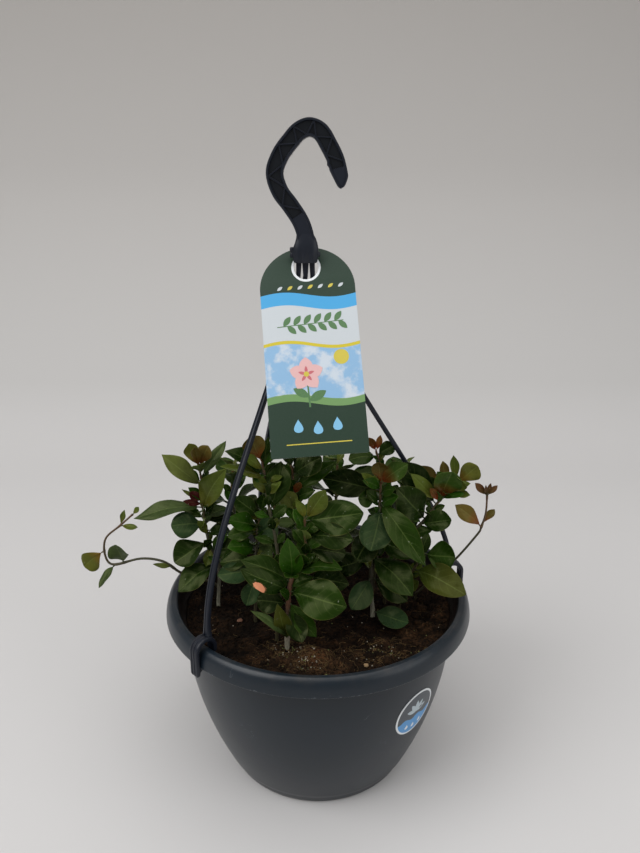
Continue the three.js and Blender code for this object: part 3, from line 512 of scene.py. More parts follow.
def makeSoilMaterial(name, dark, light, bump, size):
    material, tree, shader = newMaterial(name, Roughness=0.95, Specular_IOR_Level=0.1)
    where = objectPlace(tree)
    damp = noiseOf(tree, where, 26.0, 3.0)
    grit = noiseOf(tree, where, size, 5.0, 0.7)
    colour = mixed(tree, stepped(tree, grit, 0.35, 0.72), paint(*dark), paint(*light))
    wet = times(tree, stepped(tree, damp, 0.5, 0.7), 0.55)
    colour = mixed(tree, wet, colour, paint(*soil["wet"]))
    tint = readMark(tree, "tint", "Color")
    tree.links.new(mixed(tree, 1.0, colour, tint, "MULTIPLY"), shader["Base Color"])
    bumped(tree, shader, grit, bump, 0.8)
    return material


def lumpShape(divisions):
    shape = bmesh.new()
    bmesh.ops.create_icosphere(shape, subdivisions=divisions, radius=1.0)
    points = [vertex.co.copy() for vertex in shape.verts]
    faces = [tuple(vertex.index for vertex in face.verts) for face in shape.faces]
    shape.free()
    return points, faces


def addLump(form, shape, centre, size, draw, tint, flat=0.8):
    points, faces = shape
    stretch = Vector((draw.uniform(0.7, 1.3), draw.uniform(0.7, 1.3), draw.uniform(0.6, 1.0) * flat)) * size
    turn = Matrix.Rotation(draw.uniform(0, 6.28), 3, "Z") @ Matrix.Rotation(draw.uniform(-0.5, 0.5), 3, "X")
    dent = Vector((draw.uniform(0, 90), draw.uniform(0, 90), 0))
    moved = []
    for point in points:
        knobbly = 1 + 0.28 * noise.noise(point * 1.7 + dent)
        moved.append(centre + turn @ Vector([p * s * knobbly for p, s in zip(point, stretch)]))
    form.add(moved, faces, tint=tint)


def soilSpot(draw, edge=116.0):
    radius, turn = edge * math.sqrt(draw.random()), draw.uniform(0, 2 * math.pi)
    return radius * math.cos(turn), radius * math.sin(turn)


def plugSpot(draw, spread):
    plugX, plugY = draw.choice(soil["plugs"])
    return plugX + draw.gauss(0, spread), plugY + draw.gauss(0, spread * 0.7)


def makeSoil():
    form = Form(tint=4)
    edge = wallRadius(soil["top"]) - pot["wall"] - 0.15
    rings, tints = [[Vector((0, 0, roughSoil(0, 0)))]], [soilShade(0, 0)]
    for k in range(1, soil["rings"] + 1):
        radius = edge * k / soil["rings"]
        ring = []
        for turn in roundTurns(soil["sides"]):
            x, y = radius * math.cos(turn), radius * math.sin(turn)
            ring.append(Vector((x, y, roughSoil(x, y))))
            tints.append(soilShade(x, y))
        rings.append(ring)
    for z in (138.0, 104.0, 66.0, soil["bottom"]):
        rings.append(circle(wallRadius(z) - pot["wall"] - 0.3, z, soil["sides"]))
    rings.append([Vector((0, 0, soil["bottom"]))])
    points, faces = lofted(rings)
    form.add(points, faces, tint=tints + [(0.5, 0.5, 0.5, 1.0)] * (len(points) - len(tints)))
    bed = makeSoilMaterial("peatBed", soil["dark"], soil["light"], 0.9, 420.0)
    form.piece("soil_bed", ["potting_soil"], [bed], 180.0)


def makeSoilCrumbs():
    draw = random.Random(soil["seed"])
    form = Form(tint=4)
    small, large = lumpShape(1), lumpShape(2)
    for i in range(soil["crumbs"]):
        x, y = soilSpot(draw)
        size = (0.5 + 1.3 * draw.random() ** 2) * (1 - 0.6 * clumpShare(x, y))
        # Crumbs and clods take the bed's painted light and shade.
        shade = draw.uniform(0.5, 1.5) * soilShade(x, y)[1]
        centre = Vector((x, y, roughSoil(x, y) + 0.2 * size))
        addLump(form, small, centre, size, draw, warmed(shade, soil["crumbWarmth"]))
    for i in range(soil["clods"]):
        x, y = soilSpot(draw, 110.0)
        size = draw.uniform(*soil["clodSize"])
        if i < 3 * len(soil["pale"]):
            x, y = [mid + draw.gauss(0, 7) for mid in soil["pale"][i // 3]]
            size = draw.uniform(*soil["plugClodSize"])
        if clumpShare(x, y) > 0.2:
            continue
        shade = draw.uniform(0.7, 1.3) * (0.3 + 0.7 * soilShade(x, y)[1])
        centre = Vector((x, y, roughSoil(x, y) - 0.1 * size))
        addLump(form, large, centre, size, draw, warmed(shade, soil["clodWarmth"]), 0.7)
    crumb = makeSoilMaterial("peatCrumb", soil["dark"], soil["light"], 0.7, 700.0)
    form.piece("soil_crumbs", [], [crumb], 60.0)


def makeSoilFibres():
    draw = random.Random(soil["seed"] + 1)
    form = Form(tint=4)
    for i in range(soil["fibres"]):
        x, y = plugSpot(draw, 14) if i % 3 else soilSpot(draw)
        if math.hypot(x, y) > 112:
            continue
        turn, length = draw.uniform(0, 6.28), draw.uniform(*soil["fibreLength"])
        bend = draw.uniform(-0.5, 0.5)
        centres = []
        for k in range(5):
            t = k / 4
            heading = turn + bend * t * 2
            spotX, spotY = x + length * t * math.cos(heading), y + length * t * math.sin(heading)
            lift = draw.uniform(0.1, 0.9) * math.sin(math.pi * t)
            centres.append(Vector((spotX, spotY, roughSoil(spotX, spotY) + 0.25 + lift)))
        thickness = draw.uniform(*soil["fibreThickness"])
        shade = draw.uniform(0.45, 1.25)
        radii = [thickness * k for k in (0.6, 1, 1, 0.8, 0.4)]
        tint = (shade, shade * draw.uniform(0.88, 1.0), shade * 0.85, 1.0)
        form.add(*capped(tubeRings(centres, radii, 3, Vector((0, 0, 1)))), tint=tint)
    fibre = makeSoilMaterial("peatFibre", *soil["fibre"], 0.3, 900.0)
    form.piece("soil_fibres", [], [fibre], 60.0)


def makeSoilGrains():
    draw = random.Random(soil["seed"] + 2)
    form = Form(tint=4)
    small = lumpShape(1)
    for i in range(soil["grains"]):
        x, y = plugSpot(draw, 9) if i % 4 else soilSpot(draw)
        if math.hypot(x, y) > 114:
            continue
        size = draw.uniform(*soil["grainSize"])
        mossy = draw.random() < soil["mossyShare"]
        tint = soil["mossyGrain"] if mossy else (draw.uniform(0.5, 1.0),) * 3 + (1.0,)
        addLump(form, small, Vector((x, y, roughSoil(x, y) + 0.5 * size)), size, draw, tint)
    for x, y, size, chipTint in soil["chips"]:
        addLump(form, lumpShape(2), Vector((x, y, roughSoil(x, y) + 0.4 * size)), size, draw, chipTint, 0.6)
    grain = makeSoilMaterial("paleGrit", *soil["grain"], 0.3, 500.0)
    form.piece("soil_grit", [], [grain], 60.0)


makeSoil()
makeSoilCrumbs()
makeSoilFibres()
makeSoilGrains()
print("soil made")

# Hanger: hook, hub, three legs and their clips in one moulding
hook = {
    "line": [
        (-8.8, 455), (-9.2, 466), (-13, 478), (-20.8, 490), (-29, 501), (-32.7, 514), (-28, 526.6),
        (-20.2, 536.6), (-13.8, 543), (-5.8, 545.8), (2.2, 542.4), (8.2, 533.4), (13.4, 523.4), (16.2, 513),
        (17.7, 502.6),
    ],
    "plane": 6.0, "thickness": 8.0, "halfWidth": 6.56, "flange": 2.0, "recess": 2.4, "steps": 150,
    "ribs": [0.185, 0.235, 0.29, 0.345, 0.4, 0.455, 0.51, 0.56, 0.61, 0.66, 0.71, 0.765, 0.82, 0.875],
    "ribWidth": 1.3, "webStart": 0.17, "webEnd": 0.9,
    "tipOuter": 0.055, "tipInner": 0.1, "barb": {"at": 0.868, "width": 0.016, "height": 0.9},
    "flash": {"start": 0.3, "end": 0.56, "height": 0.55},
    "look": {
        "dark": (20, 24, 32), "light": (27, 31, 41), "scuffColour": (104, 110, 114), "scuff": 0.25,
        "recess": (14, 18, 24), "roughness": 0.36, "ior": 1.36, "grain": 900.0, "clouds": 60.0, "bump": 0.1,
        "dust": 0.08,
    },
}
hub = {"x": -9.8, "y": 5.0, "bottom": 447.5, "top": 459.0, "halfWidth": 10.2, "halfDepth": 4.8, "pitch": 5.7}
leg = {
    "width": 4.5, "upper": 3.8, "narrow": 3.4, "joined": 5.4, "depth": 4.0, "finger": 10.0,
    "footInset": 4.5, "footHeight": 170.0, "steps": 48,
    # How far below the hub each change is complete.
    "turned": 45, "widened": 270, "parted": 11, "slimmed": 30,
    "forms": [
        {"side": -1, "y": 8.1, "azimuth": 226.5, "splay": 0.24, "drop": 0.33, "rise": 82, "bulge": 2},
        {"side": 1, "y": 8.1, "azimuth": 12.0, "splay": 0.0, "drop": 0.24, "rise": 53, "bulge": 9},
        {"side": 0, "y": 7.0, "azimuth": 118.5, "splay": 0.34, "drop": 0.3, "rise": 65, "bulge": 20},
    ],
}
clip = {
    "radius": 8.5, "bar": 3.4, "width": 8.8, "middle": 128.7, "spring": 163.5, "innerEnd": 157.6,
    "lip": 2.6, "lipTop": 149.4, "tabBottom": 143.2, "tabHeights": (158, 152, 147), "archSteps": 14,
}


def hookFrame(t):
    line = [(x, 0, z) for x, z in hook["line"]]
    last = len(line) - 1
    here = smoothPoint(line, t * last)
    along = (smoothPoint(line, min(last, t * last + 0.02)) - smoothPoint(line, max(0, t * last - 0.02)))
    along.normalize()
    return here, along, Vector((-along.z, 0, along.x))


def hookReach(t):
    # Half widths: both sides round off at the tip. The inner edge has a small barb and some flash.
    outer = hook["halfWidth"] * min(1.0, math.sqrt(max(0.0, (1 - t) / hook["tipOuter"])) * 0.92 + 0.08)
    slant = clamped((1 - t) / hook["tipInner"])
    barb, flash = hook["barb"], hook["flash"]
    inner = hook["halfWidth"] * (0.08 + 0.92 * slant ** 0.6)
    inner += barb["height"] * max(0.0, 1 - abs(t - barb["at"]) / barb["width"])
    if flash["start"] < t < flash["end"]:
        inner += flash["height"] * max(0.0, noise.noise(Vector((t * 260, 0.0, 4.0))))
    return outer, inner


def addHookBeam(form):
    rings, wear = [], []
    half = hook["thickness"] / 2
    places = [i / hook["steps"] for i in range(hook["steps"] + 1)]
    places += [hook["webStart"], hook["webStart"] + 0.001, hook["webEnd"] - 0.001, hook["webEnd"]]
    for t in sorted(places):
        here, _, outward = hookFrame(t)
        outer, inner = hookReach(t)
        # Painted shade: the recess floor carries a shade value that darkens it to the hook's recess colour.
        hollow = 1.0 if hook["webStart"] < t < hook["webEnd"] else 0.0
        floor = half - hook["recess"] * hollow
        lipOut, lipIn = outer - hook["flange"], -(inner - hook["flange"])
        face = [
            (outer, half - 0.7, 0.7, 0), (outer - 0.5, half, 0.7, 0), (lipOut + 0.3, half, 0.2, 0),
            (lipOut, half - 0.3, 0, hollow * 0.5), (lipOut - 0.4, floor, 0, hollow),
            (lipIn + 0.4, floor, 0, hollow), (lipIn, half - 0.3, 0, hollow * 0.5),
            (lipIn - 0.3, half, 0.2, 0), (-inner + 0.5, half, 0.7, 0), (-inner, half - 0.7, 0.7, 0),
        ]
        middle = (outer - inner) / 2
        if lipOut - 0.4 < lipIn + 0.4:
            face = [(min(max(u, middle), outer) if k < 5 else max(min(u, middle), -inner), v, rub, dark)
                    for k, (u, v, rub, dark) in enumerate(face)]
        section = face + [(u, -v, rub, dark) for u, v, rub, dark in reversed(face)]
        rings.append([here + outward * u + Vector((0, hook["plane"] + v, 0)) for u, v, _, _ in section])
        wear += [(rub, dark, 0.0) for _, _, rub, dark in section]
    form.add(*capped(rings), wear=wear)


def addBar(form, start, end, sideways, width, low, high):
    # A straight rib of that width between two points, from low to high along the depth axis.
    rings = []
    for spot in (start, end):
        corners = [(-width, low), (-width * 0.6, high), (width * 0.6, high), (width, low)]
        rings.append([spot + sideways * u + Vector((0, v, 0)) for u, v in corners])
    form.add(*capped(rings), wear=(0.3, 0.0, 0.0))


def addHookRibs(form):
    half = hook["thickness"] / 2
    reach = hook["halfWidth"] - hook["flange"] + 0.3
    for k, (tA, tB) in enumerate(zip(hook["ribs"], hook["ribs"][1:])):
        hereA, _, outA = hookFrame(tA)
        hereB, _, outB = hookFrame(tB)
        side = 1 if k % 2 else -1
        start, end = hereA + outA * reach * side, hereB - outB * reach * side
        sideways = (end - start).normalized().cross(Vector((0, 1, 0)))
        for sign in (-1, 1):
            low, high = sign * (half - hook["recess"] - 0.2), sign * (half - 0.45)
            shift = Vector((0, hook["plane"], 0))
            addBar(form, start + shift, end + shift, sideways, hook["ribWidth"] / 2, low, high)


def addHub(form):
    w, b, t = hub["halfWidth"], hub["bottom"], hub["top"]
    profile = [(w - 1.9, b - 0.2), (w - 1, b + 0.6), (w - 0.4, b + 3), (w, b + 7), (w - 0.1, b + 10),
               (w - 0.6, b + 12.5), (w - 1.5, b + 15.5), (w - 2.5, b + 18.5), (w - 3.3, b + 21),
               (w - 4, b + 23)]
    shank = [(x, 0, height) for x, height in hook["line"]]
    rings = []
    for reach, z in profile:
        fluted = max(0.0, 1 - (z - b) / (t - b))
        shankX = smoothPoint(shank, min(2.0, max(0.0, (z - 455) / 11))).x
        middle = blend(hub["x"], shankX, clamped((z - b - 8) / 10))
        ring = []
        for turn in roundTurns(48):
            x, y = math.cos(turn), math.sin(turn)
            groove = 0.3 * fluted ** 0.7 * (0.5 - 0.5 * math.cos(2 * math.pi * x * reach / hub["pitch"]))
            depth = hub["halfDepth"] * reach / w * (abs(y) ** 0.7) * (1 if y >= 0 else -1) * (1 - groove)
            ring.append(Vector((middle + reach * x, hub["y"] + depth, z)))
        rings.append(ring)
    form.add(*capped(rings), wear=(0.15, 0.0, 0.0))
    knob = roundedOutline([(0, -2.2, 0), (1.7, -2, 0.6), (2.1, 0, 0.6), (1.7, 2, 0.6), (0, 2.2, 0)])
    for x, z in ((-w, t - 1.6), (-w, t - 5.6), (w - 0.4, t - 5)):
        points, faces = lofted(turnedRings(knob, 14))
        shift = Vector((hub["x"] + x, hub["y"], z))
        form.add([point + shift for point in points], faces, wear=(0.3, 0.0, 0.0))


def legCentres(shape):
    outward = compass(shape["azimuth"])
    top = Vector((hub["x"] + shape["side"] * hub["pitch"], shape["y"], hub["bottom"]))
    knee = top - Vector((0, 0, leg["finger"] + 0.3))
    foot = outward * (clip["middle"] - leg["footInset"]) + Vector((0, 0, leg["footHeight"]))
    across = Vector((foot.x - knee.x, foot.y - knee.y, 0))
    bendA = knee + across * shape["splay"] - Vector((0, 0, shape["drop"] * (knee.z - foot.z)))
    bendB = foot + outward * shape["bulge"] + Vector((0, 0, shape["rise"]))
    centres = [top + Vector((0, 0, lift)) for lift in (3, 0, -3, -6, -8.5)]
    for i in range(leg["steps"] + 1):
        t = i / leg["steps"]
        near = knee * (1 - t) ** 3 + bendA * 3 * t * (1 - t) ** 2
        centres.append(near + bendB * 3 * t * t * (1 - t) + foot * t ** 3)
    return centres, outward


def addLeg(form, shape):
    # Joined at the hub, the fingers taper on the sides that face each other and so leave V-shaped gaps.
    centres, outward = legCentres(shape)
    sideways = Vector((-outward.y, outward.x, 0))
    sideways *= 1 if sideways.x > 0 else -1
    d = leg["depth"] / 2
    quarter = [(1.0, 0.62 * d), (0.86, 0.92 * d), (0.66, d), (0.36, d), (0.22, 0.74 * d)]
    mirror = [(-u, v) for u, v in reversed(quarter)]
    section = quarter + mirror + [(-u, -v) for u, v in quarter] + [(-u, -v) for u, v in mirror]
    rings = []
    for k, centre in enumerate(centres):
        fallen = hub["bottom"] - centre.z
        along = (centres[min(k + 1, len(centres) - 1)] - centres[max(k - 1, 0)]).normalized()
        facing = Vector((1, 0, 0)).lerp(sideways, clamped(fallen / leg["turned"]))
        across = (facing - along * along.dot(facing)).normalized()
        out = across.cross(along)
        foot = max(0.0, (k - len(centres) + 4) / 3)
        full = blend(leg["upper"], leg["width"], clamped(fallen / leg["widened"]) ** 2)
        below = (fallen - leg["parted"]) / leg["slimmed"]
        slim = blend(leg["narrow"], full, clamped(below)) / 2
        inner = blend(leg["joined"] / 2, slim, clamped(fallen / leg["parted"]))
        right, left = (inner if shape["side"] <= 0 else slim), (inner if shape["side"] >= 0 else slim)
        widen = 1 + 0.75 * foot ** 2
        rings.append([centre + across * u * (right if u > 0 else left) * widen + out * v * (1 + 0.3 * foot)
                      for u, v in section])
    form.add(*capped(rings), wear=(0.15, 0.0, 0.0))


def addClip(form, azimuth):
    outward = compass(azimuth)
    sideways = Vector((-outward.y, outward.x, 0))
    up = Vector((0, 0, 1))
    r, middle, spring = clip["radius"], clip["middle"], clip["spring"]
    route = [(middle - r, clip["innerEnd"], -1, 0), (middle - r, clip["innerEnd"] + 3, -1, 0)]
    for i in range(clip["archSteps"] + 1):
        turn = math.pi * i / clip["archSteps"]
        c, s = math.cos(turn), math.sin(turn)
        route.append((middle - r * c, spring + r * s, -c, s))
    for z in (*clip["tabHeights"], clip["tabBottom"] + 1.6):
        route.append((middle + r, z, 1, 0))
    route.append((middle + r - 0.2, clip["tabBottom"], 1, 0))
    w, h = clip["width"] / 2, clip["bar"] / 2
    face = [(w, h - 0.9), (w - 0.25, h - 0.25), (w - 0.9, h), (w - 1.7, h), (w - 2.1, h - 0.5),
            (0.8, h - 0.5), (0.5, h)]
    top = face + [(-u, v) for u, v in reversed(face)]
    section = top + [(-w, -h + 0.6), (-w + 0.6, -h), (w - 0.6, -h), (w, -h + 0.6)]
    rings = []
    for k, (radius, z, normalOut, normalUp) in enumerate(route):
        squeeze = 0.8 if k in (0, len(route) - 1) else 1.0
        here = outward * radius + up * z
        normal = outward * normalOut + up * normalUp
        rings.append([here + sideways * u * squeeze + normal * v * squeeze for u, v in section])
    form.add(*capped(rings), wear=(0.35, 0.0, 0.0))
    edge = middle + r - clip["bar"] / 2
    lipTop, tip = clip["lipTop"], edge - clip["lip"]
    lipProfile = [(edge + 0.6, clip["tabBottom"] + 2.6), (edge + 0.6, lipTop + 0.3),
                  (edge - 0.6, lipTop + 0.3), (tip, lipTop - 0.4), (tip, lipTop - 1.4)]
    rings = []
    for u in (-w + 0.8, w - 0.8):
        rings.append([outward * radius + up * z + sideways * u for radius, z in lipProfile])
    form.add(*capped(rings), wear=(0.1, 0.0, 0.0))


def makeHanger():
    form = Form(wear=3)
    addHookBeam(form)
    addHookRibs(form)
    addHub(form)
    for shape in leg["forms"]:
        addLeg(form, shape)
        addClip(form, shape["azimuth"])
    nodes = ["hanger_hook", "hanger_leg_front_left", "hanger_leg_right", "hanger_leg_back_left"]
    form.piece("hanger", nodes, [makePlastic("hangerPlastic", hook["look"])], 35.0)


makeHanger()
print("hanger made")

# Hang tag: an arched card with a plain printed design
tag = {
    "width": 75.0, "below": 150.0, "above": 16.8, "archHeight": 34.0, "thickness": 0.7, "holeRadius": 9.7,
    "lean": 26.0, "roll": 4.4, "hole": (-9.4, 7.0, 443.5), "ringWidth": 1.9,
    "green": (27, 52, 36), "blue": (70, 164, 218), "white": (198, 204, 208), "yellow": (206, 188, 48),
    "sky": (140, 180, 214), "cloud": (200, 210, 220), "leaf": (64, 112, 54), "petal": (226, 178, 176),
    "petalDeep": (196, 96, 104), "drop": (120, 186, 222), "hill": (112, 150, 92),
    "ring": (232, 235, 237), "back": (206, 208, 208), "swayPitch": 0.075, "sway": 3.0,
    "wornTint": (150, 150, 150), "worn": 0.07, "wornRoughness": 0.14, "roughness": 0.34,
    "fieldBottoms": {
        "hill": -110.0, "sky": -104.0, "yellow": -64.0, "white": -61.5, "blue": -33.0, "top": -22.5,
    },
}
tagPlace = (
    Matrix.Translation(tag["hole"])
    @ Matrix.Rotation(math.radians(90 - tag["lean"]), 4, "X")
    @ Matrix.Rotation(math.radians(tag["roll"]), 4, "Z")
)


def arcPoints(x, y, across, up, start, end, steps):
    turns = [math.radians(blend(start, end, i / steps)) for i in range(steps + 1)]
    return [(x + across * math.cos(t), y + up * math.sin(t)) for t in turns]


def makeTagMaterial():
    material, tree, shader = newMaterial("tagCard", Specular_IOR_Level=0.28)
    place = readMark(tree, "place")
    split = axes(tree, place)
    bent = plus(tree, split["Y"], waved(tree, split["X"], tag["swayPitch"], tag["sway"]))
    span = tag["above"] + tag["below"]
    level = calc(tree, "DIVIDE", plus(tree, bent, tag["below"]), span)
    share = {name: (value + tag["below"]) / span for name, value in tag["fieldBottoms"].items()}
    greenTop, sky, cloud = paint(*tag["green"]), paint(*tag["sky"]), paint(*tag["cloud"])
    fields = ramped(tree, level, [
        (0.0, greenTop), (share["hill"], paint(*tag["hill"])), (share["sky"], sky),
        (share["yellow"], paint(*tag["yellow"])), (share["white"], paint(*tag["white"])),
        (share["blue"], paint(*tag["blue"])), (share["top"], greenTop)], "CONSTANT")
    fluffy = noiseOf(tree, place, 0.05, 4.0, 0.6)
    inSky = times(tree, stepped(tree, level, share["sky"] - 0.001, share["sky"]),
                 inverse(tree, stepped(tree, level, share["yellow"] - 0.001, share["yellow"])))
    clouded = mixed(tree, times(tree, inSky, stepped(tree, fluffy, 0.45, 0.62)), fields, cloud)
    ring = calc(tree, "LESS_THAN", fromMiddle(tree, split), tag["holeRadius"] + tag["ringWidth"])
    ringed = mixed(tree, ring, clouded, paint(*tag["ring"]))
    back = calc(tree, "LESS_THAN", split["Z"], 0.2)
    printed = mixed(tree, back, ringed, paint(*tag["back"]))
    speckle = noiseOf(tree, place, 1.6, 3.0)
    worn = mixed(tree, times(tree, speckle, tag["worn"]), printed, paint(*tag["wornTint"]))
    tree.links.new(worn, shader["Base Color"])
    rough = times(tree, speckle, tag["wornRoughness"])
    tree.links.new(plus(tree, rough, tag["roughness"]), shader["Roughness"])
    bumped(tree, shader, speckle, 0.05, 0.1)
    return material


def makeTag():
    half = tag["width"] / 2
    shoulder = tag["above"] - tag["archHeight"]
    outline = [(-half + 1, -tag["below"]), (half - 1, -tag["below"]), (half, -tag["below"] + 1)]
    outline += arcPoints(0, shoulder, half, tag["archHeight"], 0, 180, 64)
    outline += [(-half, -tag["below"] + 1)]
    hole = arcPoints(0, 0, tag["holeRadius"], tag["holeRadius"], 0, 360 - 360 / 72, 71)
    card = bpy.data.curves.new("card", "CURVE")
    card.dimensions = "2D"
    card.fill_mode = "BOTH"
    card.extrude = (tag["thickness"] / 2 - 0.08) * mm
    card.bevel_depth = 0.08 * mm
    card.offset = -0.08 * mm
    for line in (outline, hole):
        spline = card.splines.new("POLY")
        spline.points.add(len(line) - 1)
        spline.points.foreach_set("co", [c for x, y in line for c in (x * mm, y * mm, 0.0, 1.0)])
        spline.use_cyclic_u = True
    holder = bpy.data.objects.new("card", card)
    bpy.context.scene.collection.objects.link(holder)
    bpy.context.view_layer.update()
    flat = bpy.data.meshes.new_from_object(holder)
    bpy.data.objects.remove(holder)
    welded = bmesh.new()
    welded.from_mesh(flat)
    bmesh.ops.remove_doubles(welded, verts=welded.verts, dist=0.01 * mm)
    local = [vertex.co / mm for vertex in welded.verts]
    faces = [tuple(vertex.index for vertex in face.verts) for face in welded.faces]
    welded.free()
    form = Form(place=3)
    form.add([tagPlace @ point for point in local], faces, place=[tuple(point) for point in local])
    form.piece("hang_tag_card", ["hang_tag"], [makeTagMaterial()], 30.0)


def addPrint(form, outline, lift, where, tint):
    # A printed shape: a very thin slab that follows where it is laid.
    rings = [[where(x, y, height) for x, y in outline] for height in (lift - 0.05, lift)]
    form.add(*capped(rings), tint=tint)


def leafOutline(x, y, length, width, degrees, steps=8):
    turn = math.radians(degrees)
    edge = [(length * i / steps, width / 2 * math.sin(math.pi * i / steps) ** 0.8) for i in range(steps + 1)]
    edge += [(u, -v) for u, v in reversed(edge[1:-1])]
    c, s = math.cos(turn), math.sin(turn)
    return [(x + u * c - v * s, y + u * s + v * c) for u, v in edge]


def dropOutline(x, y, size):
    side = [(size * math.sin(t) * math.sin(t / 2) ** 1.6, -size * math.cos(t)) for t in
            [math.pi * i / 14 for i in range(15)]]
    side += [(-u, v) for u, v in reversed(side[1:-1])]
    return [(x + u, y - v) for u, v in side]


ink = {"speckScale": 900.0, "specks": 0.18, "speckTint": (160, 160, 160)}


def makeInk(name, roughness):
    material, tree, shader = newMaterial(name, Roughness=roughness)
    tint = readMark(tree, "tint", "Color")
    speckle = noiseOf(tree, objectPlace(tree), ink["speckScale"], 3.0)
    specks = times(tree, speckle, ink["specks"])
    tree.links.new(mixed(tree, specks, tint, paint(*ink["speckTint"])), shader["Base Color"])
    bumped(tree, shader, speckle, 0.04, 0.1)
    return material


def makeTagPrint():
    form = Form(tint=4)
    surface = tag["thickness"] / 2

    def onCard(x, y, lift):
        return tagPlace @ Vector((x, y, surface + lift))

    def shape(outline, colour, lift=0.05):
        addPrint(form, outline, lift, onCard, paint(*tag[colour]))

    for k in range(7):
        shape(leafOutline(-24 + 8 * k, -17.5, 5.2, 2.4, 35), "yellow" if k % 2 else "white")
    shape([(-26, -47.6), (26, -45.2), (26, -44.5), (-26, -46.9)], "leaf")
    for k in range(6):
        x = -21 + 8 * k
        shape(leafOutline(x, -47 + 0.045 * (x + 26), 9.5, 4.6, 52), "leaf", 0.08)
        shape(leafOutline(x + 3, -47 + 0.045 * (x + 29), 9.5, 4.6, -46), "leaf", 0.08)
    shape(arcPoints(22, -74, 6, 6, 0, 345, 23), "yellow")
    shape([(-5.6, -112), (-4.2, -112), (-5.2, -88), (-6.4, -88)], "leaf")
    shape(leafOutline(-5, -107, 15, 7, 28), "leaf", 0.07)
    shape(leafOutline(-5, -104, 14, 6.5, 148), "leaf", 0.07)
    for k in range(5):
        shape(leafOutline(-6, -86, 13.5, 10.5, 90 + 72 * k), "petal", 0.08 + 0.02 * k)
    for k in range(5):
        shape(leafOutline(-6, -86, 6.5, 2.4, 90 + 72 * k), "petalDeep", 0.2)
    shape(arcPoints(-6, -86, 2.1, 2.1, 0, 330, 11), "yellow", 0.24)
    for k in range(3):
        shape(dropOutline(-15 + 15 * k, -126 - 2 * (k % 2), 5.2), "drop")
    shape([(-25, -140.5), (25, -140.5), (25, -139.7), (-25, -139.7)], "yellow")
    form.piece("hang_tag_print", [], [makeInk("tagInk", 0.4)], 30.0)


makeTag()
makeTagPrint()
print("hang tag made")

# Round label on the wall
label = {
    "radius": 21.8, "azimuth": -46.4, "height": 95.4, "lift": 0.08, "thickness": 0.45, "border": 1.7,
    "dark": (52, 60, 68), "blue": (70, 146, 206), "white": (226, 230, 232), "pale": (176, 190, 198),
    "waterTop": -4.0, "wavePitch": 0.42, "wave": 1.3,
    "wornTint": (150, 150, 150), "worn": 0.12, "roughness": 0.3,
}


def onWall(across, up, lift):
    z = label["height"] + up * 0.99
    radius = wallRadius(z) + lift
    turn = math.radians(label["azimuth"]) + across / wallRadius(label["height"])
    return Vector((radius * math.cos(turn), radius * math.sin(turn), z))


def makeLabelMaterial():
    material, tree, shader = newMaterial("labelFilm")
    place = readMark(tree, "place")
    split = axes(tree, place)
    wave = waved(tree, split["X"], label["wavePitch"], label["wave"])
    water = calc(tree, "LESS_THAN", split["Y"], plus(tree, wave, label["waterTop"]))
    colour = mixed(tree, water, paint(*label["dark"]), paint(*label["blue"]))
    border = calc(tree, "GREATER_THAN", fromMiddle(tree, split), label["radius"] - label["border"])
    colour = mixed(tree, border, colour, paint(*label["white"]))
    speckle = noiseOf(tree, place, 1.4, 3.0)
    specks = times(tree, speckle, label["worn"])
    tree.links.new(mixed(tree, specks, colour, paint(*label["wornTint"])), shader["Base Color"])
    tree.links.new(plus(tree, specks, label["roughness"]), shader["Roughness"])
    bumped(tree, shader, speckle, 0.05, 0.1)
    return material


def makeLabel():
    form = Form(place=3)
    radii = [0.0] + [label["radius"] * k / 12 for k in range(1, 13)]
    layers = []
    for lift in (label["lift"] + label["thickness"], label["lift"]):
        rows = []
        for radius in radii:
            turns = roundTurns(72) if radius else [0.0]
            rows.append([(radius * math.cos(t), radius * math.sin(t), lift) for t in turns])
        layers.append(rows)
    spots = layers[0] + list(reversed(layers[1]))
    points, faces = lofted([[onWall(*spot) for spot in row] for row in spots])
    form.add(points, faces, place=[spot for row in spots for spot in row])
    form.piece("pot_label_film", ["pot_label"], [makeLabelMaterial()], 30.0)
    motifs = Form(tint=4)
    surface = label["lift"] + label["thickness"]

    def onLabel(x, y, lift):
        return onWall(x, y, surface + lift)

    for k in range(5):
        turn = 90 + 36 * (k - 2)
        ray = leafOutline(0, 1.5, 11.5, 4.2, turn)
        addPrint(motifs, ray, 0.05 + 0.01 * k, onLabel, paint(*label["pale"]))
    for k in range(3):
        drop = dropOutline(-8 + 8 * k, -12 - 1.5 * (k % 2), 2.6)
        addPrint(motifs, drop, 0.05, onLabel, paint(*label["white"]))
    motifs.piece("pot_label_print", [], [makeInk("labelInk", 0.36)], 30.0)


makeLabel()
print("label made")

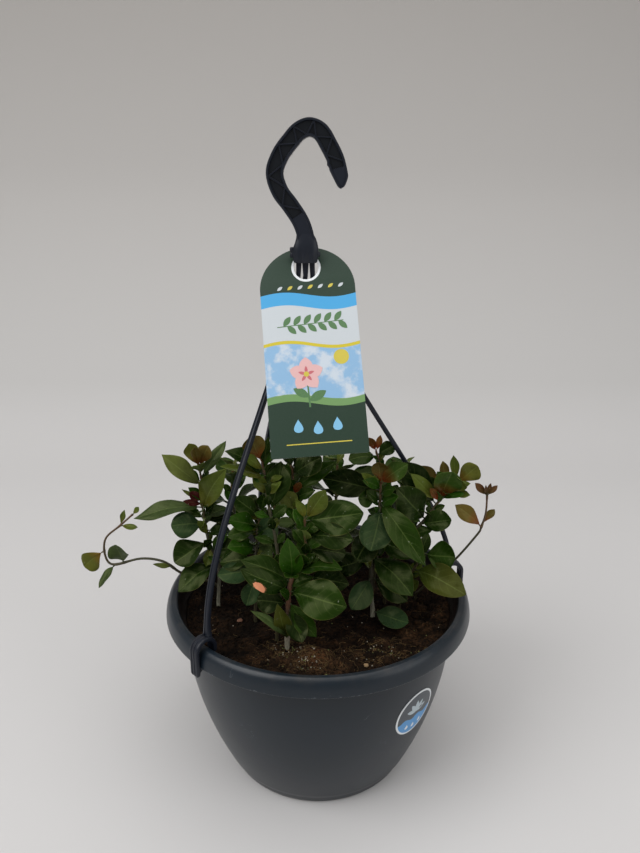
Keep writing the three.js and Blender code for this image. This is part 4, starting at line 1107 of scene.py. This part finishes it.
# Foliage
leaf = {
    "fold": 0.18, "thickness": 0.5, "petiole": 4.0, "petioleShare": 0.12, "petioleRadius": 0.75,
    "rows": 18, "columns": 12, "smallLength": 18.0, "smallRows": 9, "smallColumns": 6,
    "veins": 6.5, "veinRake": 1.9, "quilt": 0.012, "seed": 17,
    "bulge": 0.055, "bulgeLength": 13, "bulgeWidth": 15, "ripples": 7, "rippleShift": 2.1,
    "edgeThinning": 0.65, "midribHeight": 0.45, "midribWidth": 0.1, "grooveDepth": 0.3, "grooveWidth": 0.09,
    "petioleTaper": (1.25, 1.0, 0.9, 0.85, 0.85, 0.8, 0.45), "slimSkew": 0.25, "youngSkew": 0.45,
    "dryWidth": 0.8,
    # Each leaf draws its own form within these.
    "twist": (-0.2, 0.2), "waves": (0.06, 0.14), "cup": (-0.05, 0.16), "sideways": (-0.04, 0.04),
    "droop": (-0.01, 0.05), "skew": (1.15, 1.42), "gain": (0.94, 1.26), "curl": (-0.05, 0.14),
    "lopsided": (-0.09, 0.09),
    # Small young leaves in the axils.
    "axilFrom": 1.3, "axilStep": 0.42, "axilReach": (11, 24), "axilRise": (20, 66), "axilWidth": (0.42, 0.56),
    # One dead spot: its place on the blade of the leaf that has it, and far off for the others.
    "spotPlace": (0.6, 0.74, 1.0), "noSpot": (9.0, 9.0, 9.0),
    "veinTint": (150, 168, 96), "marginTint": (140, 128, 70), "underTint": (96, 112, 66),
    "fleckTint": (150, 156, 136), "spotTint": (206, 134, 100),
    "veinShare": 0.2, "midribShare": 0.34, "marginShare": 0.55, "fleckShare": 0.45, "underShare": 0.3,
    "roughness": 0.2, "cloudedRoughness": 0.16, "underRoughness": 0.25,
    "quiltHeight": 0.3, "fineHeight": 0.1, "midribDepth": 0.35,
}
# Upper sides from stalk to tip; the underside, the veins and the stalk are worked out from these.
leafTints = {
    "dark": [(22, 40, 7)], "deep": [(15, 29, 6)], "mid": [(28, 50, 8)], "bright": [(31, 62, 8)],
    "pale": [(90, 98, 46)], "grey": [(56, 70, 36)], "blueGreen": [(42, 62, 36)], "maroon": [(66, 18, 24)],
    "olive": [(82, 80, 26), (74, 86, 30)], "moss": [(44, 58, 14), (58, 62, 20)],
    "young": [(108, 72, 26), (88, 90, 34)], "bronze": [(118, 54, 26), (84, 70, 30)],
    "red": [(126, 38, 20), (96, 58, 26)], "blush": [(112, 44, 20), (46, 68, 22)],
    "brown": [(62, 48, 24), (78, 48, 28)],
}
stem = {
    "sides": 9, "stepsPerSpan": 7, "bottom": 140.0, "tipRadius": 0.8, "swelling": 0.35, "swellNarrowness": 9,
    "rootTaper": 0.86, "reddening": 0.8, "paling": 0.85, "farRadius": 1.8,
    "reddish": (96, 58, 32), "bark": (60, 54, 30), "green": (58, 62, 24), "young": (98, 58, 30),
    "pale": (168, 164, 144),
}


def makeLeafVeins():
    tree, given, result = newGroup(
        "leafVeins", {"Place": "vector", "Count": "float", "Rake": "float"},
        {"Vein": "float", "Midrib": "float", "Margin": "float", "Quilt": "float"})
    split = axes(tree, given["Place"])
    u, v = split["X"], split["Y"]
    out = calc(tree, "ABSOLUTE", v)
    rake = times(tree, calc(tree, "POWER", out, 1.25), given["Rake"])
    phase = calc(tree, "SUBTRACT", times(tree, u, given["Count"]), rake)
    triangle = calc(tree, "ABSOLUTE", calc(tree, "SUBTRACT", calc(tree, "FRACT", phase), 0.5))
    line = stepped(tree, triangle, 0.44, 0.5)
    fade = inverse(tree, stepped(tree, out, 0.55, 0.92))
    rib = inverse(tree, stepped(tree, out, 0.015, 0.06))
    tree.links.new(times(tree, line, fade), result["Vein"])
    tree.links.new(rib, result["Midrib"])
    tree.links.new(stepped(tree, out, 0.955, 0.995), result["Margin"])
    tree.links.new(calc(tree, "SUBTRACT", 0.5, triangle), result["Quilt"])
    return tree


def makeLeafMaterial():
    material, tree, shader = newMaterial(
        "leafSkin", IOR=1.42, Specular_IOR_Level=0.22, Specular_Tint=(0.9, 0.95, 0.45, 1.0))
    place, tint = readMark(tree, "place"), readMark(tree, "tint", "Color")
    pattern = {"Place": place, "Count": leaf["veins"], "Rake": leaf["veinRake"]}
    veins = useGroup(tree, makeLeafVeins(), pattern)
    where = objectPlace(tree)
    cloudy = noiseOf(tree, where, 70.0, 4.0)
    fine = noiseOf(tree, where, 900.0, 3.0)
    skin = mixed(tree, stepped(tree, cloudy, 0.3, 0.75), mixed(tree, 0.3, tint, (0.0, 0.0, 0.0, 1.0)), tint)
    lightVein = mixed(tree, 0.34, tint, paint(*leaf["veinTint"]))
    edgeTint = mixed(tree, 0.3, tint, paint(*leaf["marginTint"]))
    flecked = stepped(tree, noiseOf(tree, where, 330.0, 2.0, 0.6), 0.72, 0.75)
    for mark, share, colour in (
            (veins["Vein"], "veinShare", lightVein), (veins["Midrib"], "midribShare", lightVein),
            (veins["Margin"], "marginShare", edgeTint), (flecked, "fleckShare", paint(*leaf["fleckTint"]))):
        skin = mixed(tree, times(tree, mark, leaf[share]), skin, colour)
    under = calc(tree, "LESS_THAN", axes(tree, place)["Z"], 0.5)
    below = mixed(tree, leaf["underShare"], skin, paint(*leaf["underTint"]))
    skin = mixed(tree, under, skin, below)
    spot = readMark(tree, "spot")
    onBlade = [put(tree, "VectorMath", {0: mark, 1: (1.0, 0.34, 1.0)}, operation="MULTIPLY").outputs[0]
               for mark in (place, spot)]
    apart = put(tree, "VectorMath", {0: onBlade[0], 1: onBlade[1]}, operation="DISTANCE").outputs["Value"]
    ragged = plus(tree, apart, times(tree, calc(tree, "SUBTRACT", fine, 0.5), 0.12))
    dead = inverse(tree, stepped(tree, ragged, 0.1, 0.13))
    skin = mixed(tree, dead, skin, paint(*leaf["spotTint"]))
    tree.links.new(skin, shader["Base Color"])
    clouded = times(tree, cloudy, leaf["cloudedRoughness"])
    rough = plus(tree, clouded, times(tree, under, leaf["underRoughness"]))
    tree.links.new(plus(tree, rough, leaf["roughness"]), shader["Roughness"])
    quilted = times(tree, veins["Quilt"], leaf["quiltHeight"])
    ridged = plus(tree, quilted, times(tree, fine, leaf["fineHeight"]))
    raised = calc(tree, "SUBTRACT", ridged, times(tree, veins["Midrib"], leaf["midribDepth"]))
    bumped(tree, shader, raised, 0.35, 0.5)
    return material


def makeStemMaterial():
    material, tree, shader = newMaterial("stemBark", Roughness=0.6)
    where = objectPlace(tree)
    stretched = put(tree, "Mapping", {"Vector": where, "Scale": (1.0, 1.0, 0.25)}).outputs[0]
    streaks = noiseOf(tree, stretched, 900.0, 4.0, 0.65)
    tint = readMark(tree, "tint", "Color")
    darker = mixed(tree, 0.5, tint, (0.01, 0.01, 0.005, 1.0))
    tree.links.new(mixed(tree, stepped(tree, streaks, 0.35, 0.65), darker, tint), shader["Base Color"])
    bumped(tree, shader, streaks, 0.4, 0.3)
    return material


def bladeReach(u, skew, slim):
    # Share of the half width: broadest past the middle, tapered to the stalk. Slim leaves have pointed tips.
    body = max(0.0, math.sin(math.pi * u ** skew)) ** blend(0.72, blend(0.5, 1.0, slim), u)
    point = 1.0 if u < 0.92 else blend(1.0, 0.82, math.sin(math.pi * (u - 0.92) / 0.16))
    return body * point


def addLeaf(form, base, row, draw, spot=leaf["noSpot"]):
    _, x, y, z, width, face, arch, *kind = row
    tintName = kind[0] if kind else "dark"
    chord = Vector((x, y, z)) - base
    length = chord.length
    along = chord.normalized()
    lean = math.radians(face)
    hint = Vector((0, -math.sin(lean), math.cos(lean)))
    normal = (hint - along * hint.dot(along)).normalized()
    across = normal.cross(along)
    stalk = min(leaf["petioleShare"], leaf["petiole"] / length)
    small = length < leaf["smallLength"]
    rows, columns = [leaf[key] for key in (("smallRows", "smallColumns") if small else ("rows", "columns"))]
    twist, wavePhase = draw.uniform(*leaf["twist"]), draw.uniform(0, 6.28)
    waveSize, cup, sideways, droop, skew, gain = [
        draw.uniform(*leaf[key]) for key in ("waves", "cup", "sideways", "droop", "skew", "gain")]
    unevenness = draw.uniform(0, 90)
    curl, lopsided = draw.uniform(*leaf["curl"]), draw.uniform(*leaf["lopsided"])
    slim = clamped((0.72 - width / length) / 0.34)
    skew -= leaf["slimSkew"] * slim
    if tintName in ("young", "bronze"):
        skew += leaf["youngSkew"]
    if tintName == "brown":
        slim, width = 1.0, width * leaf["dryWidth"]
    stalkEnd, tipEnd = [[c * gain for c in paint(*leafTints[tintName][k])[:3]] for k in (0, -1)]

    def spine(s):
        bend = across * (sideways * length * 4 * s * (1 - s))
        return base + chord * s + normal * (arch * length * 4 * s * (1 - s)) + bend

    def bladePoint(u, v, side):
        s = stalk + (1 - stalk) * u
        reach = width / 2 * bladeReach(u, skew, slim) * (1 + lopsided * v)
        turn = twist * (u - 0.4)
        sideDir = across * math.cos(turn) + normal * math.sin(turn)
        upDir = normal * math.cos(turn) - across * math.sin(turn)
        out = abs(v)
        rise = reach * leaf["fold"] * 1.25 * (math.sqrt(v * v + 0.05) - 0.22)
        rise += reach * (cup * v * v - curl * v ** 6)
        place = (u * length / leaf["bulgeLength"], v * width / leaf["bulgeWidth"], unevenness)
        bulge = noise.noise(Vector(place))
        rise += width * leaf["bulge"] * bulge * min(1.0, 4 * (1 - u))
        ripple = leaf["ripples"] * u + wavePhase + (leaf["rippleShift"] if v > 0 else 0)
        rise += reach * waveSize * math.sin(ripple) * out ** 2 * 2
        veinPhase = (u * leaf["veins"] - out ** 1.25 * leaf["veinRake"]) % 1.0
        rise += width * leaf["quilt"] * math.sin(math.pi * veinPhase) * (1 - out) * min(1.0, out * 4)
        groove = leaf["grooveDepth"] * math.exp(-(v / leaf["grooveWidth"]) ** 2) * (1 - u)
        rise -= groove + droop * length * math.sin(math.pi * u ** 2.2)
        thick = leaf["thickness"] / 2 * (1 - leaf["edgeThinning"] * out ** 3)
        if side < 0:
            thick += leaf["midribHeight"] * math.exp(-(v / leaf["midribWidth"]) ** 2) * (1 - u) ** 0.7
        return spine(s) + sideDir * (v * reach) + upDir * (rise + side * thick)

    sheets, places, tints = [], [], []
    us = [0.004 + 0.99 * (k / rows) for k in range(rows + 1)]
    vs = [2 * k / columns - 1 for k in range(columns + 1)]
    for u in us:
        ring = [bladePoint(u, v, 1) for v in vs] + [bladePoint(u, v, -1) for v in reversed(vs)]
        sheets.append(ring)
        places.append([(u, v, 1.0) for v in vs] + [(u, v, 0.0) for v in reversed(vs)])
        tint = tuple(blend(a, b, min(1.0, 1.8 * u)) for a, b in zip(stalkEnd, tipEnd))
        tints += [tint + (1.0,)] * len(ring)
    sheets.append([spine(0.998)])
    places.append([(1.0, 0.0, 1.0)])
    tints.append((*tipEnd, 1.0))
    points, faces = lofted(sheets)
    form.add(points, faces + [tuple(range(len(sheets[0])))], 0, tint=tints, spot=spot,
             place=[place for ring in places for place in ring])
    centres = [spine(stalk * k / 5) for k in range(6)] + [spine(stalk + 0.02)]
    shrink = 0.7 if small else 1.0
    radii = [leaf["petioleRadius"] * shrink * k for k in leaf["petioleTaper"]]
    reference = Vector((0, 0, 1)) if abs(along.z) < 0.8 else Vector((0, 1, 0))
    stalkTint = [blend(a, b, 0.55) for a, b in zip(stalkEnd, paint(*stem["green"])[:3])]
    form.add(*capped(tubeRings(centres, radii, 7, reference)), 1, tint=(*stalkTint, 1.0))


def addStem(form, path, rootRadius, rows, wood, paleBase):
    spans = len(path) - 1
    steps = spans * stem["stepsPerSpan"]
    woody, green, young, pale = [paint(*stem[key]) for key in (wood, "green", "young", "pale")]
    centres = [Vector((path[0][0], path[0][1], stem["bottom"]))]
    radii, tints = [rootRadius], [pale if paleBase else woody]
    for i in range(steps + 1):
        share = i / steps
        swell = sum(math.exp(-((spans * share - row[0]) * stem["swellNarrowness"]) ** 2) for row in rows)
        centres.append(smoothPoint(path, spans * share))
        radius = blend(rootRadius * stem["rootTaper"], stem["tipRadius"], share)
        radii.append(radius * (1 + stem["swelling"] * min(1.0, swell)))
        greening, reddening = clamped(share * 2 - 0.6), max(0.0, share * 2 - 1) * stem["reddening"]
        paling = max(0.0, 1 - share * 5) * stem["paling"] if paleBase else 0.0
        colour = [blend(a, b, greening) for a, b in zip(woody, green)]
        colour = [blend(a, b, reddening) for a, b in zip(colour, young)]
        tints.append(tuple(blend(a, b, paling) for a, b in zip(colour, pale)))
    rings = tubeRings(centres, radii, stem["sides"])
    form.add(*capped(rings), 1, tint=[tint for tint, ring in zip(tints, rings) for _ in ring])


def addAxilLeaves(form, path, draw):
    # Small young leaves in opposite pairs, close to the stem, each pair turned a quarter.
    at, turn = leaf["axilFrom"], draw.uniform(0, 3.1)
    while at < len(path) - 1.3:
        base = smoothPoint(path, at)
        for half in (0, math.pi):
            azimuth = turn + half + draw.uniform(-0.3, 0.3)
            reach, rise = draw.uniform(*leaf["axilReach"]), math.radians(draw.uniform(*leaf["axilRise"]))
            tip = base + headed(azimuth, rise, reach)
            tintName = draw.choice(("mid", "olive", "mid", "dark", "bright"))
            row = (at, *tip, reach * draw.uniform(*leaf["axilWidth"]), draw.uniform(20, 60), 0.08, tintName)
            addLeaf(form, base, row, draw)
        at += leaf["axilStep"]
        turn += math.pi / 2


leafSkin = makeLeafMaterial()
stemBark = makeStemMaterial()


def makeShoot(name, shoot, draw):
    form = Form(tint=4, place=3, spot=3)
    path, rows = shoot["path"], shoot["leaves"]
    addStem(form, path, shoot["radius"], rows, shoot.get("wood", "bark"), shoot.get("paleBase", False))
    for k, row in enumerate(rows):
        spot = leaf["spotPlace"] if k == shoot.get("spotted") else leaf["noSpot"]
        addLeaf(form, smoothPoint(path, row[0]), row, draw, spot)
    if not shoot.get("bare"):
        addAxilLeaves(form, path, draw)
    form.piece(name + "_growth", [name], [leafSkin, stemBark], 60.0)


# Leaf rows: place along the stem, tip x, y, z, width, face, arch and tint. The place counts the stem's
# own points from 0, and face is how far the upper side leans from straight up towards the viewer.
shoots = {
    "shoot_left_tall": {
        "radius": 1.9, "paleBase": True,
        "path": [(-90, -7, 150), (-88, -6, 186), (-95, -3, 203), (-99, 0, 222), (-100, 0, 240),
                 (-100, 0, 262), (-102, 0, 280)],
        "leaves": [
            (5.9, -108, -6, 301, 13, 65, 0.05, "young"), (4.9, -131, -8, 292, 17, 45, 0.12, "pale"),
            (5.3, -79, 10, 298, 11, 50, 0.05, "grey"), (3.9, -76, -14, 282, 21, 60, 0.08, "olive"),
            (4.3, -110, -8, 257, 8, 60, 0, "maroon"), (4, -160, -6, 232, 17, 30, 0.14, "grey"),
            (3.1, -126, -14, 229, 23, 50, 0.08, "blueGreen"), (2.3, -125, -16, 195, 24, 42, 0.12, "dark"),
            (2.1, -98, -14, 190, 9, 80, 0, "olive"), (1.1, -121, -26, 172, 22, 35, 0.1, "dark"),
            (3.5, -81, 14, 233, 14, 30, 0.05, "dark"), (3.2, -73, 18, 223, 18, 40, 0.1, "deep"),
            (5.9, -93, 0, 297, 14, 65, 0.05, "bronze"), (5.8, -102, -12, 300, 9, 80, 0, "bronze"),
            (4.3, -116, -9, 261, 4, 50, 0, "pale"), (4.15, -115, -11, 251, 6, 50, 0, "maroon"),
            (2.8, -79, 8, 214, 16, 30, 0.05, "blueGreen"), (1.7, -69, -6, 207, 21, 35, 0.1, "dark"),
        ],
    },
    "vine_left": {
        "radius": 1.6, "bare": True,
        "path": [(-92, 16, 150), (-98, 14, 158), (-112, 10, 165), (-126, 8, 172), (-140, 6, 184),
                 (-160, 6, 187), (-185, 6, 181), (-192, 6, 190), (-190, 6, 207), (-175, 4, 221),
                 (-163, 3, 232)],
        "leaves": [
            (3.5, -147, -4, 187, 6, 30, 0, "pale"), (5.6, -178, -6, 207, 18, 75, 0, "grey"),
            (5.9, -196, -8, 165, 9, 20, 0.1, "grey"), (7.3, -210.6, 2, 181, 20.0, 85, 0, "young"),
            (9, -170, 4, 236, 5, 60, 0, "olive"), (9, -158, -2, 222, 6, 40, 0, "olive"),
            (10, -157, 3, 239, 5, 50, 0, "olive"),
        ],
    },
    "shoot_front_left_tall": {
        "radius": 1.8,
        "path": [(-34, -58, 150), (-31, -58, 184), (-33, -48, 224), (-38, -40, 249), (-42, -33, 269),
                 (-43, -30, 280), (-45, -27, 292)],
        "leaves": [
            (6, -53, -31, 316, 19, 80, 0, "bronze"), (5.1, -74, -36, 305, 17, 30, 0.1, "dark"),
            (4.8, -77, -44, 295, 15, 20, 0.1, "olive"), (3.2, -30, -24, 292, 21, 85, 0.05, "dark"),
            (5.4, -40, -20, 312, 8, 70, 0, "dark"), (5, -35, -22, 290, 7, 60, 0, "mid"),
            (2.2, -21, -30, 223, 17, 40, 0.05, "deep"),
        ],
    },
    "shoot_front_left_low": {
        "radius": 1.7,
        "path": [(-55, -26, 150), (-53, -24, 186), (-53, -20, 211), (-51, -18, 229), (-48, -16, 244)],
        "leaves": [
            (3.6, -71, -14, 256, 16, 45, 0.1, "dark"), (3.1, -75, -34, 244, 16, 50, 0.1, "bright"),
            (2.7, -34, -30, 240, 20, 70, 0.05, "blueGreen"), (2.1, -75, -38, 221, 17, 45, 0.1, "bright"),
            (1.6, -37, -40, 214, 12, 30, 0.1, "grey"), (1.2, -85, -34, 193, 20, 45, 0.1, "blueGreen"),
            (1, -61, -38, 166, 16, 70, 0.1, "blueGreen"), (4, -44, -22, 262, 10, 80, 0, "mid"),
            (4, -64, -4, 249, 16, 50, 0.1, "deep"), (2.8, -76, -28, 226, 15, 35, 0.1, "mid"),
            (2.1, -33, -30, 219, 15, 50, 0.05, "grey"), (1.5, -84, -24, 199, 19, 35, 0.1, "dark"),
        ],
    },
    "shoot_front_main": {
        "radius": 2.1, "paleBase": True, "wood": "reddish", "spotted": 11,
        "path": [(-25, -69, 150), (-24, -68, 181), (-21, -66, 207), (-12, -64, 219), (-9, -63, 230),
                 (-10, -62, 244), (-10, -62, 258)],
        "leaves": [
            (6, 6, -66, 284, 15, 75, 0.05, "olive"), (6, -17, -64, 276, 7, 80, 0, "olive"),
            (2, -23, -76, 249, 19, 85, 0.05, "bright"), (1.6, 22, -92, 199, 31, 60, 0.08, "mid"),
            (2.4, 19, -80, 224, 20, 15, 0.1, "mid"), (1.1, -12, -84, 162, 17, 75, 0, "deep"),
            (1.3, -1, -80, 164, 16, 75, 0, "mid"), (0.15, -32, -76, 192, 14, 80, 0.1, "moss"),
            (0.2, -53, -78, 187, 9, 30, 0.18, "grey"), (1.2, -49, -66, 189, 20, 60, 0.05, "deep"),
            (1.9, -60, -72, 228, 18, 45, 0.1, "dark"), (1.6, -59, -84, 227, 19, 45, 0.1, "dark"),
            (5.9, 35, -70, 267, 28, 60, 0.05, "dark"), (5, 27, -81, 250, 21, 68, 0, "dark"),
            (4.2, 22, -62, 228, 20, 50, 0.08, "deep"),
        ],
    },
    "shoot_centre": {
        "radius": 1.8,
        "path": [(-2, -26, 150), (-4, -26, 168), (-11, -25, 202), (-18, -24, 239), (-20, -22, 262),
                 (-21, -20, 285)],
        "leaves": [
            (4.7, 3, -28, 297, 20, 50, 0.1, "dark"), (4.2, 16, -20, 291, 16, 40, 0.05, "mid"),
            (4, -14, -26, 274, 7, 80, 0, "red"), (3.3, -29, -34, 270, 15, 80, 0, "pale"),
            (5, -27, -16, 300, 10, 70, 0, "dark"), (5, -8, -6, 301, 10, 60, 0, "dark"),
            (2.2, 24, -34, 214, 22, 50, 0.1, "deep"), (1.6, 26, -40, 188, 22, 60, 0.1, "deep"),
            (4.4, 12, 16, 268, 14, 40, 0.1, "dark"), (2.9, -34, -22, 236, 11, 35, 0, "grey"),
            (2.3, -32, -10, 216, 20, 40, 0.1, "deep"), (1.9, 10, -12, 197, 22, 40, 0.1, "deep"),
        ],
    },
    "shoot_right_front": {
        "radius": 2, "paleBase": True,
        "path": [(48, -24, 150), (46, -20, 183), (46, -18, 213), (51, -20, 242), (52, -20, 258),
                 (52, -20, 270)],
        "leaves": [
            (4.5, 3, -6, 270, 24, 70, 0.05, "deep"), (4, 33, -30, 262, 15, 75, 0, "mid"),
            (3.8, 62, -27, 262, 12, 70, 0, "mid"), (4.7, 35, -30, 284, 9, 50, 0, "olive"),
            (5, 49, -24, 291, 14, 80, 0, "bronze"), (5, 73, -28, 291, 16, 55, 0.1, "blush"),
            (3.4, 43, -46, 222, 27, 70, 0.05, "blueGreen"), (1.6, 78, -52, 184, 26, 50, 0.1, "dark"),
            (1, 76, -38, 170, 20, 50, 0.1, "deep"), (0.05, 77, -42, 152, 22, 30, 0.05, "blueGreen"),
            (1, 28, -44, 166, 21, 75, 0.05, "blueGreen"), (2.4, 32, -42, 211, 23, 65, 0.05, "deep"),
            (3.7, 88, -50, 210, 22, 60, 0.18, "mid"), (2.2, 81, -34, 210, 19, 50, 0.08, "dark"),
            (1.6, 13, -24, 193, 22, 45, 0.1, "deep"),
        ],
    },
    "shoot_right_back_tall": {
        "radius": 1.8,
        "path": [(50, 12, 150), (53, 10, 183), (60, 20, 237), (57, 28, 263), (52, 31, 281)],
        "leaves": [
            (3.7, 27, 22, 276, 18, 45, 0.08, "mid"), (3, 30, 14, 267, 13, 50, 0.05, "dark"),
            (3.8, 68, 28, 288, 14, 50, 0.05, "dark"), (4, 45, 28, 295, 7, 70, 0, "red"),
            (4, 56, 35, 295, 6, 70, 0, "red"), (2.2, 34, 52, 250, 22, -20, 0.1, "dark"),
            (2.4, 77, 24, 224, 16, 40, 0.05, "deep"),
        ],
    },
    "shoot_right_main": {
        "radius": 1.9,
        "path": [(60, -3, 150), (62, -4, 165), (67, -5, 190), (78, -4, 212), (93, -2, 229), (103, 0, 243),
                 (111, 0, 253), (118, 0, 263)],
        "leaves": [
            (4.05, 66, -14, 264, 27, 60, 0.1, "dark"), (5.3, 78, -8, 275, 13, 50, 0, "olive"),
            (5.4, 113, -10, 277, 24, 80, 0, "blush"), (5, 71, 3, 281, 24, 60, 0.05, "deep"),
            (5.9, 88, 8, 276, 12, 60, 0, "bronze"), (6.2, 108, 9, 280, 9, 60, 0, "bronze"),
            (5.3, 95, -9, 262, 7, 80, 0, "red"), (6, 130, -8, 255, 9, 40, 0, "olive"),
            (7, 116, 4, 287, 8, 70, 0, "olive"), (7, 135, -6, 281, 19, 80, 0, "young"),
            (6.9, 122, -15, 270, 14, 75, 0, "olive"), (3.75, 114, -14, 235, 19, 60, 0.05, "dark"),
        ],
    },
    "shoot_right_low": {
        "radius": 1.8,
        "path": [(72, -14, 150), (74, -16, 165), (79, -20, 182), (85, -23, 198), (90, -24, 209)],
        "leaves": [
            (3.95, 115, -34, 210, 27, 75, 0.05, "mid"), (2.6, 122, -52, 185, 26.5, 50, 0.12, "moss"),
        ],
    },
    "sprig_right": {
        "radius": 1.4, "bare": True,
        "path": [(90, 8, 150), (95, 6, 156), (108, 3, 174), (123, 0, 190), (140, -2, 215), (143, -2, 222),
                 (146, -2, 236), (146, -2, 252)],
        "leaves": [
            (5, 117, -10, 247, 14, 60, 0.1, "bronze"), (5.2, 155, 3, 237, 7, 50, 0, "bronze"),
            (7, 134, -5, 265, 8, 60, 0, "brown"), (7, 143, -7, 264, 4, 60, 0, "brown"),
            (7, 149, 0, 263, 5, 60, 0, "brown"), (7, 155.4, 2, 260, 6, 60, 0, "brown"),
        ],
    },
}

# Shoots on the far side follow the plant's own habit by rule.
farShoots = {
    "shoot_far_left": {
        "path": [(-72, 40, 150), (-78, 48, 190), (-82, 52, 228), (-80, 52, 256)],
        "turn": 20, "seed": 11, "length": 38,
    },
    "shoot_far_left_low": {
        "path": [(-40, 66, 150), (-42, 74, 180), (-44, 80, 206)], "turn": 60, "seed": 23, "length": 40,
    },
    "shoot_far_centre": {
        "path": [(-18, 28, 150), (-20, 35, 190), (-24, 39, 230), (-25, 41, 268)],
        "turn": 80, "seed": 37, "length": 36,
    },
    "shoot_far_middle": {
        "path": [(18, 78, 150), (18, 86, 184), (18, 91, 220), (19, 93, 244)],
        "turn": 30, "seed": 41, "length": 40,
    },
    "shoot_far_right": {
        "path": [(70, 62, 150), (74, 68, 186), (80, 70, 220), (82, 70, 246)],
        "turn": 10, "seed": 59, "length": 38,
    },
}


habit = {
    "first": 0.45, "beforeEnd": 1.05, "width": 23, "arch": 0.1, "face": -8, "faceScatter": 10,
    "turnScatter": 14, "riseLow": 6, "riseGain": 44, "riseScatter": 9, "reachScatter": 0.1,
    "tints": ("deep", "dark", "mid", "olive"), "tintsPerStem": 3.2,
}


def pairedLeaves(shoot):
    # Opposite leaf pairs, each pair turned a quarter from the one below, with a seeded scatter.
    state = shoot["seed"]

    def scatter(reach):
        nonlocal state
        state = state * 16807 % 2147483647
        return (state / 2147483647 - 0.5) * 2 * reach

    path, pairs, rows = shoot["path"], len(shoot["path"]) + 1, []
    for i in range(pairs):
        share = i / (pairs - 1)
        at = blend(habit["first"], len(path) - habit["beforeEnd"], share)
        base = smoothPoint(path, at)
        size = 0.86 + 0.3 * math.sin(math.pi * share) - 0.34 * share ** 3
        for half in (0, 180):
            azimuth = math.radians(shoot["turn"] + 90 * i + half + scatter(habit["turnScatter"]))
            rise = habit["riseLow"] + habit["riseGain"] * share + scatter(habit["riseScatter"])
            reach = shoot["length"] * size * (1 + scatter(habit["reachScatter"]))
            tip = base + headed(azimuth, math.radians(rise), reach)
            face = habit["face"] + scatter(habit["faceScatter"])
            tintName = habit["tints"][min(3, int(share * habit["tintsPerStem"]))]
            rows.append((at, *tip, habit["width"] * size, face, habit["arch"], tintName))
    return rows


def makeFoliage():
    draw = random.Random(leaf["seed"])
    for name, shoot in shoots.items():
        makeShoot(name, shoot, draw)
    for name, shoot in farShoots.items():
        plan = {"radius": stem["farRadius"], "path": shoot["path"], "leaves": pairedLeaves(shoot)}
        makeShoot(name, plan, draw)


makeFoliage()
print("foliage made")

# Stage: one pale sheet that is floor and backdrop, soft light and the camera
stage = {
    "front": -1500.0, "bendStart": 700.0, "bend": 600.0, "height": 2400.0, "halfWidth": 2600.0,
    # Painted shade: the sheet darkens with height, where less light reaches the upper backdrop.
    "paintedShadeByHeight": [(0.0, (207, 205, 204)), (0.1, (195, 193, 191)), (0.5, (187, 184, 181)),
                (1.0, (164, 160, 156))],
}
lights = {
    "world": ((0.98, 0.99, 1.0), 0.33),
    "key": {"place": (-1600, -1000, 1900), "aim": (0, 0, 200), "size": 1900, "power": 33},
    "fill": {"place": (1500, -900, 800), "aim": (60, 0, 140), "size": 1300, "power": 6},
    "top": {"place": (300, -500, 2200), "aim": (100, 0, 0), "size": 2800, "power": 26},
}
camera = {"place": (1.7, -544.0, 485.5), "pitch": 17.5, "focalPixels": 680.0, "frameHeight": 853.0}


def makeStage():
    profile = [(stage["front"], 0.0), (stage["bendStart"], 0.0)]
    for i in range(1, 17):
        turn = math.pi / 2 * i / 16
        back, up = stage["bend"] * math.sin(turn), stage["bend"] * (1 - math.cos(turn))
        profile.append((stage["bendStart"] + back, up))
    profile.append((stage["bendStart"] + stage["bend"], stage["height"]))
    rows = [[Vector((side * stage["halfWidth"], y, z)) * mm for side in (-1, 1)] for y, z in profile]
    points, faces = lofted(rows, looped=False)
    mesh = bpy.data.meshes.new("backdrop")
    mesh.from_pydata([tuple(point) for point in points], [], faces)
    mesh.shade_smooth()
    material, tree, shader = newMaterial("backdropPaper", Roughness=0.9)
    # Painted shade by height on the sheet's colour.
    height = axes(tree, objectPlace(tree))["Z"]
    shades = [(level, paint(*colour)) for level, colour in stage["paintedShadeByHeight"]]
    tree.links.new(ramped(tree, height, shades), shader["Base Color"])
    mesh.materials.append(material)
    sheet = bpy.data.objects.new("backdrop", mesh)
    bpy.context.scene.collection.objects.link(sheet)


def makeLights():
    world = bpy.data.worlds.new("room")
    world.use_nodes = True
    colour, strength = lights["world"]
    background = world.node_tree.nodes["Background"].inputs
    background["Color"].default_value = (*colour, 1.0)
    background["Strength"].default_value = strength
    bpy.context.scene.world = world
    for name in ("key", "fill", "top"):
        plan = lights[name]
        lamp = bpy.data.lights.new(name, "AREA")
        lamp.shape = "DISK"
        lamp.size = plan["size"] * mm
        lamp.energy = plan["power"]
        holder = bpy.data.objects.new(name, lamp)
        holder.location = Vector(plan["place"]) * mm
        toward = Vector(plan["aim"]) - Vector(plan["place"])
        holder.rotation_euler = toward.to_track_quat("-Z", "Y").to_euler()
        bpy.context.scene.collection.objects.link(holder)


def makeCamera():
    eye = bpy.data.cameras.new("camera")
    eye.sensor_width = 36.0
    eye.lens = 36.0 * camera["focalPixels"] / camera["frameHeight"]
    eye.clip_start = 0.01
    holder = bpy.data.objects.new("camera", eye)
    holder.location = Vector(camera["place"]) * mm
    holder.rotation_euler = (math.radians(90 - camera["pitch"]), 0, 0)
    bpy.context.scene.collection.objects.link(holder)
    bpy.context.scene.camera = holder
    bpy.context.scene.view_settings.view_transform = "Standard"


makeStage()
makeLights()
makeCamera()
print("stage, lights and camera made")
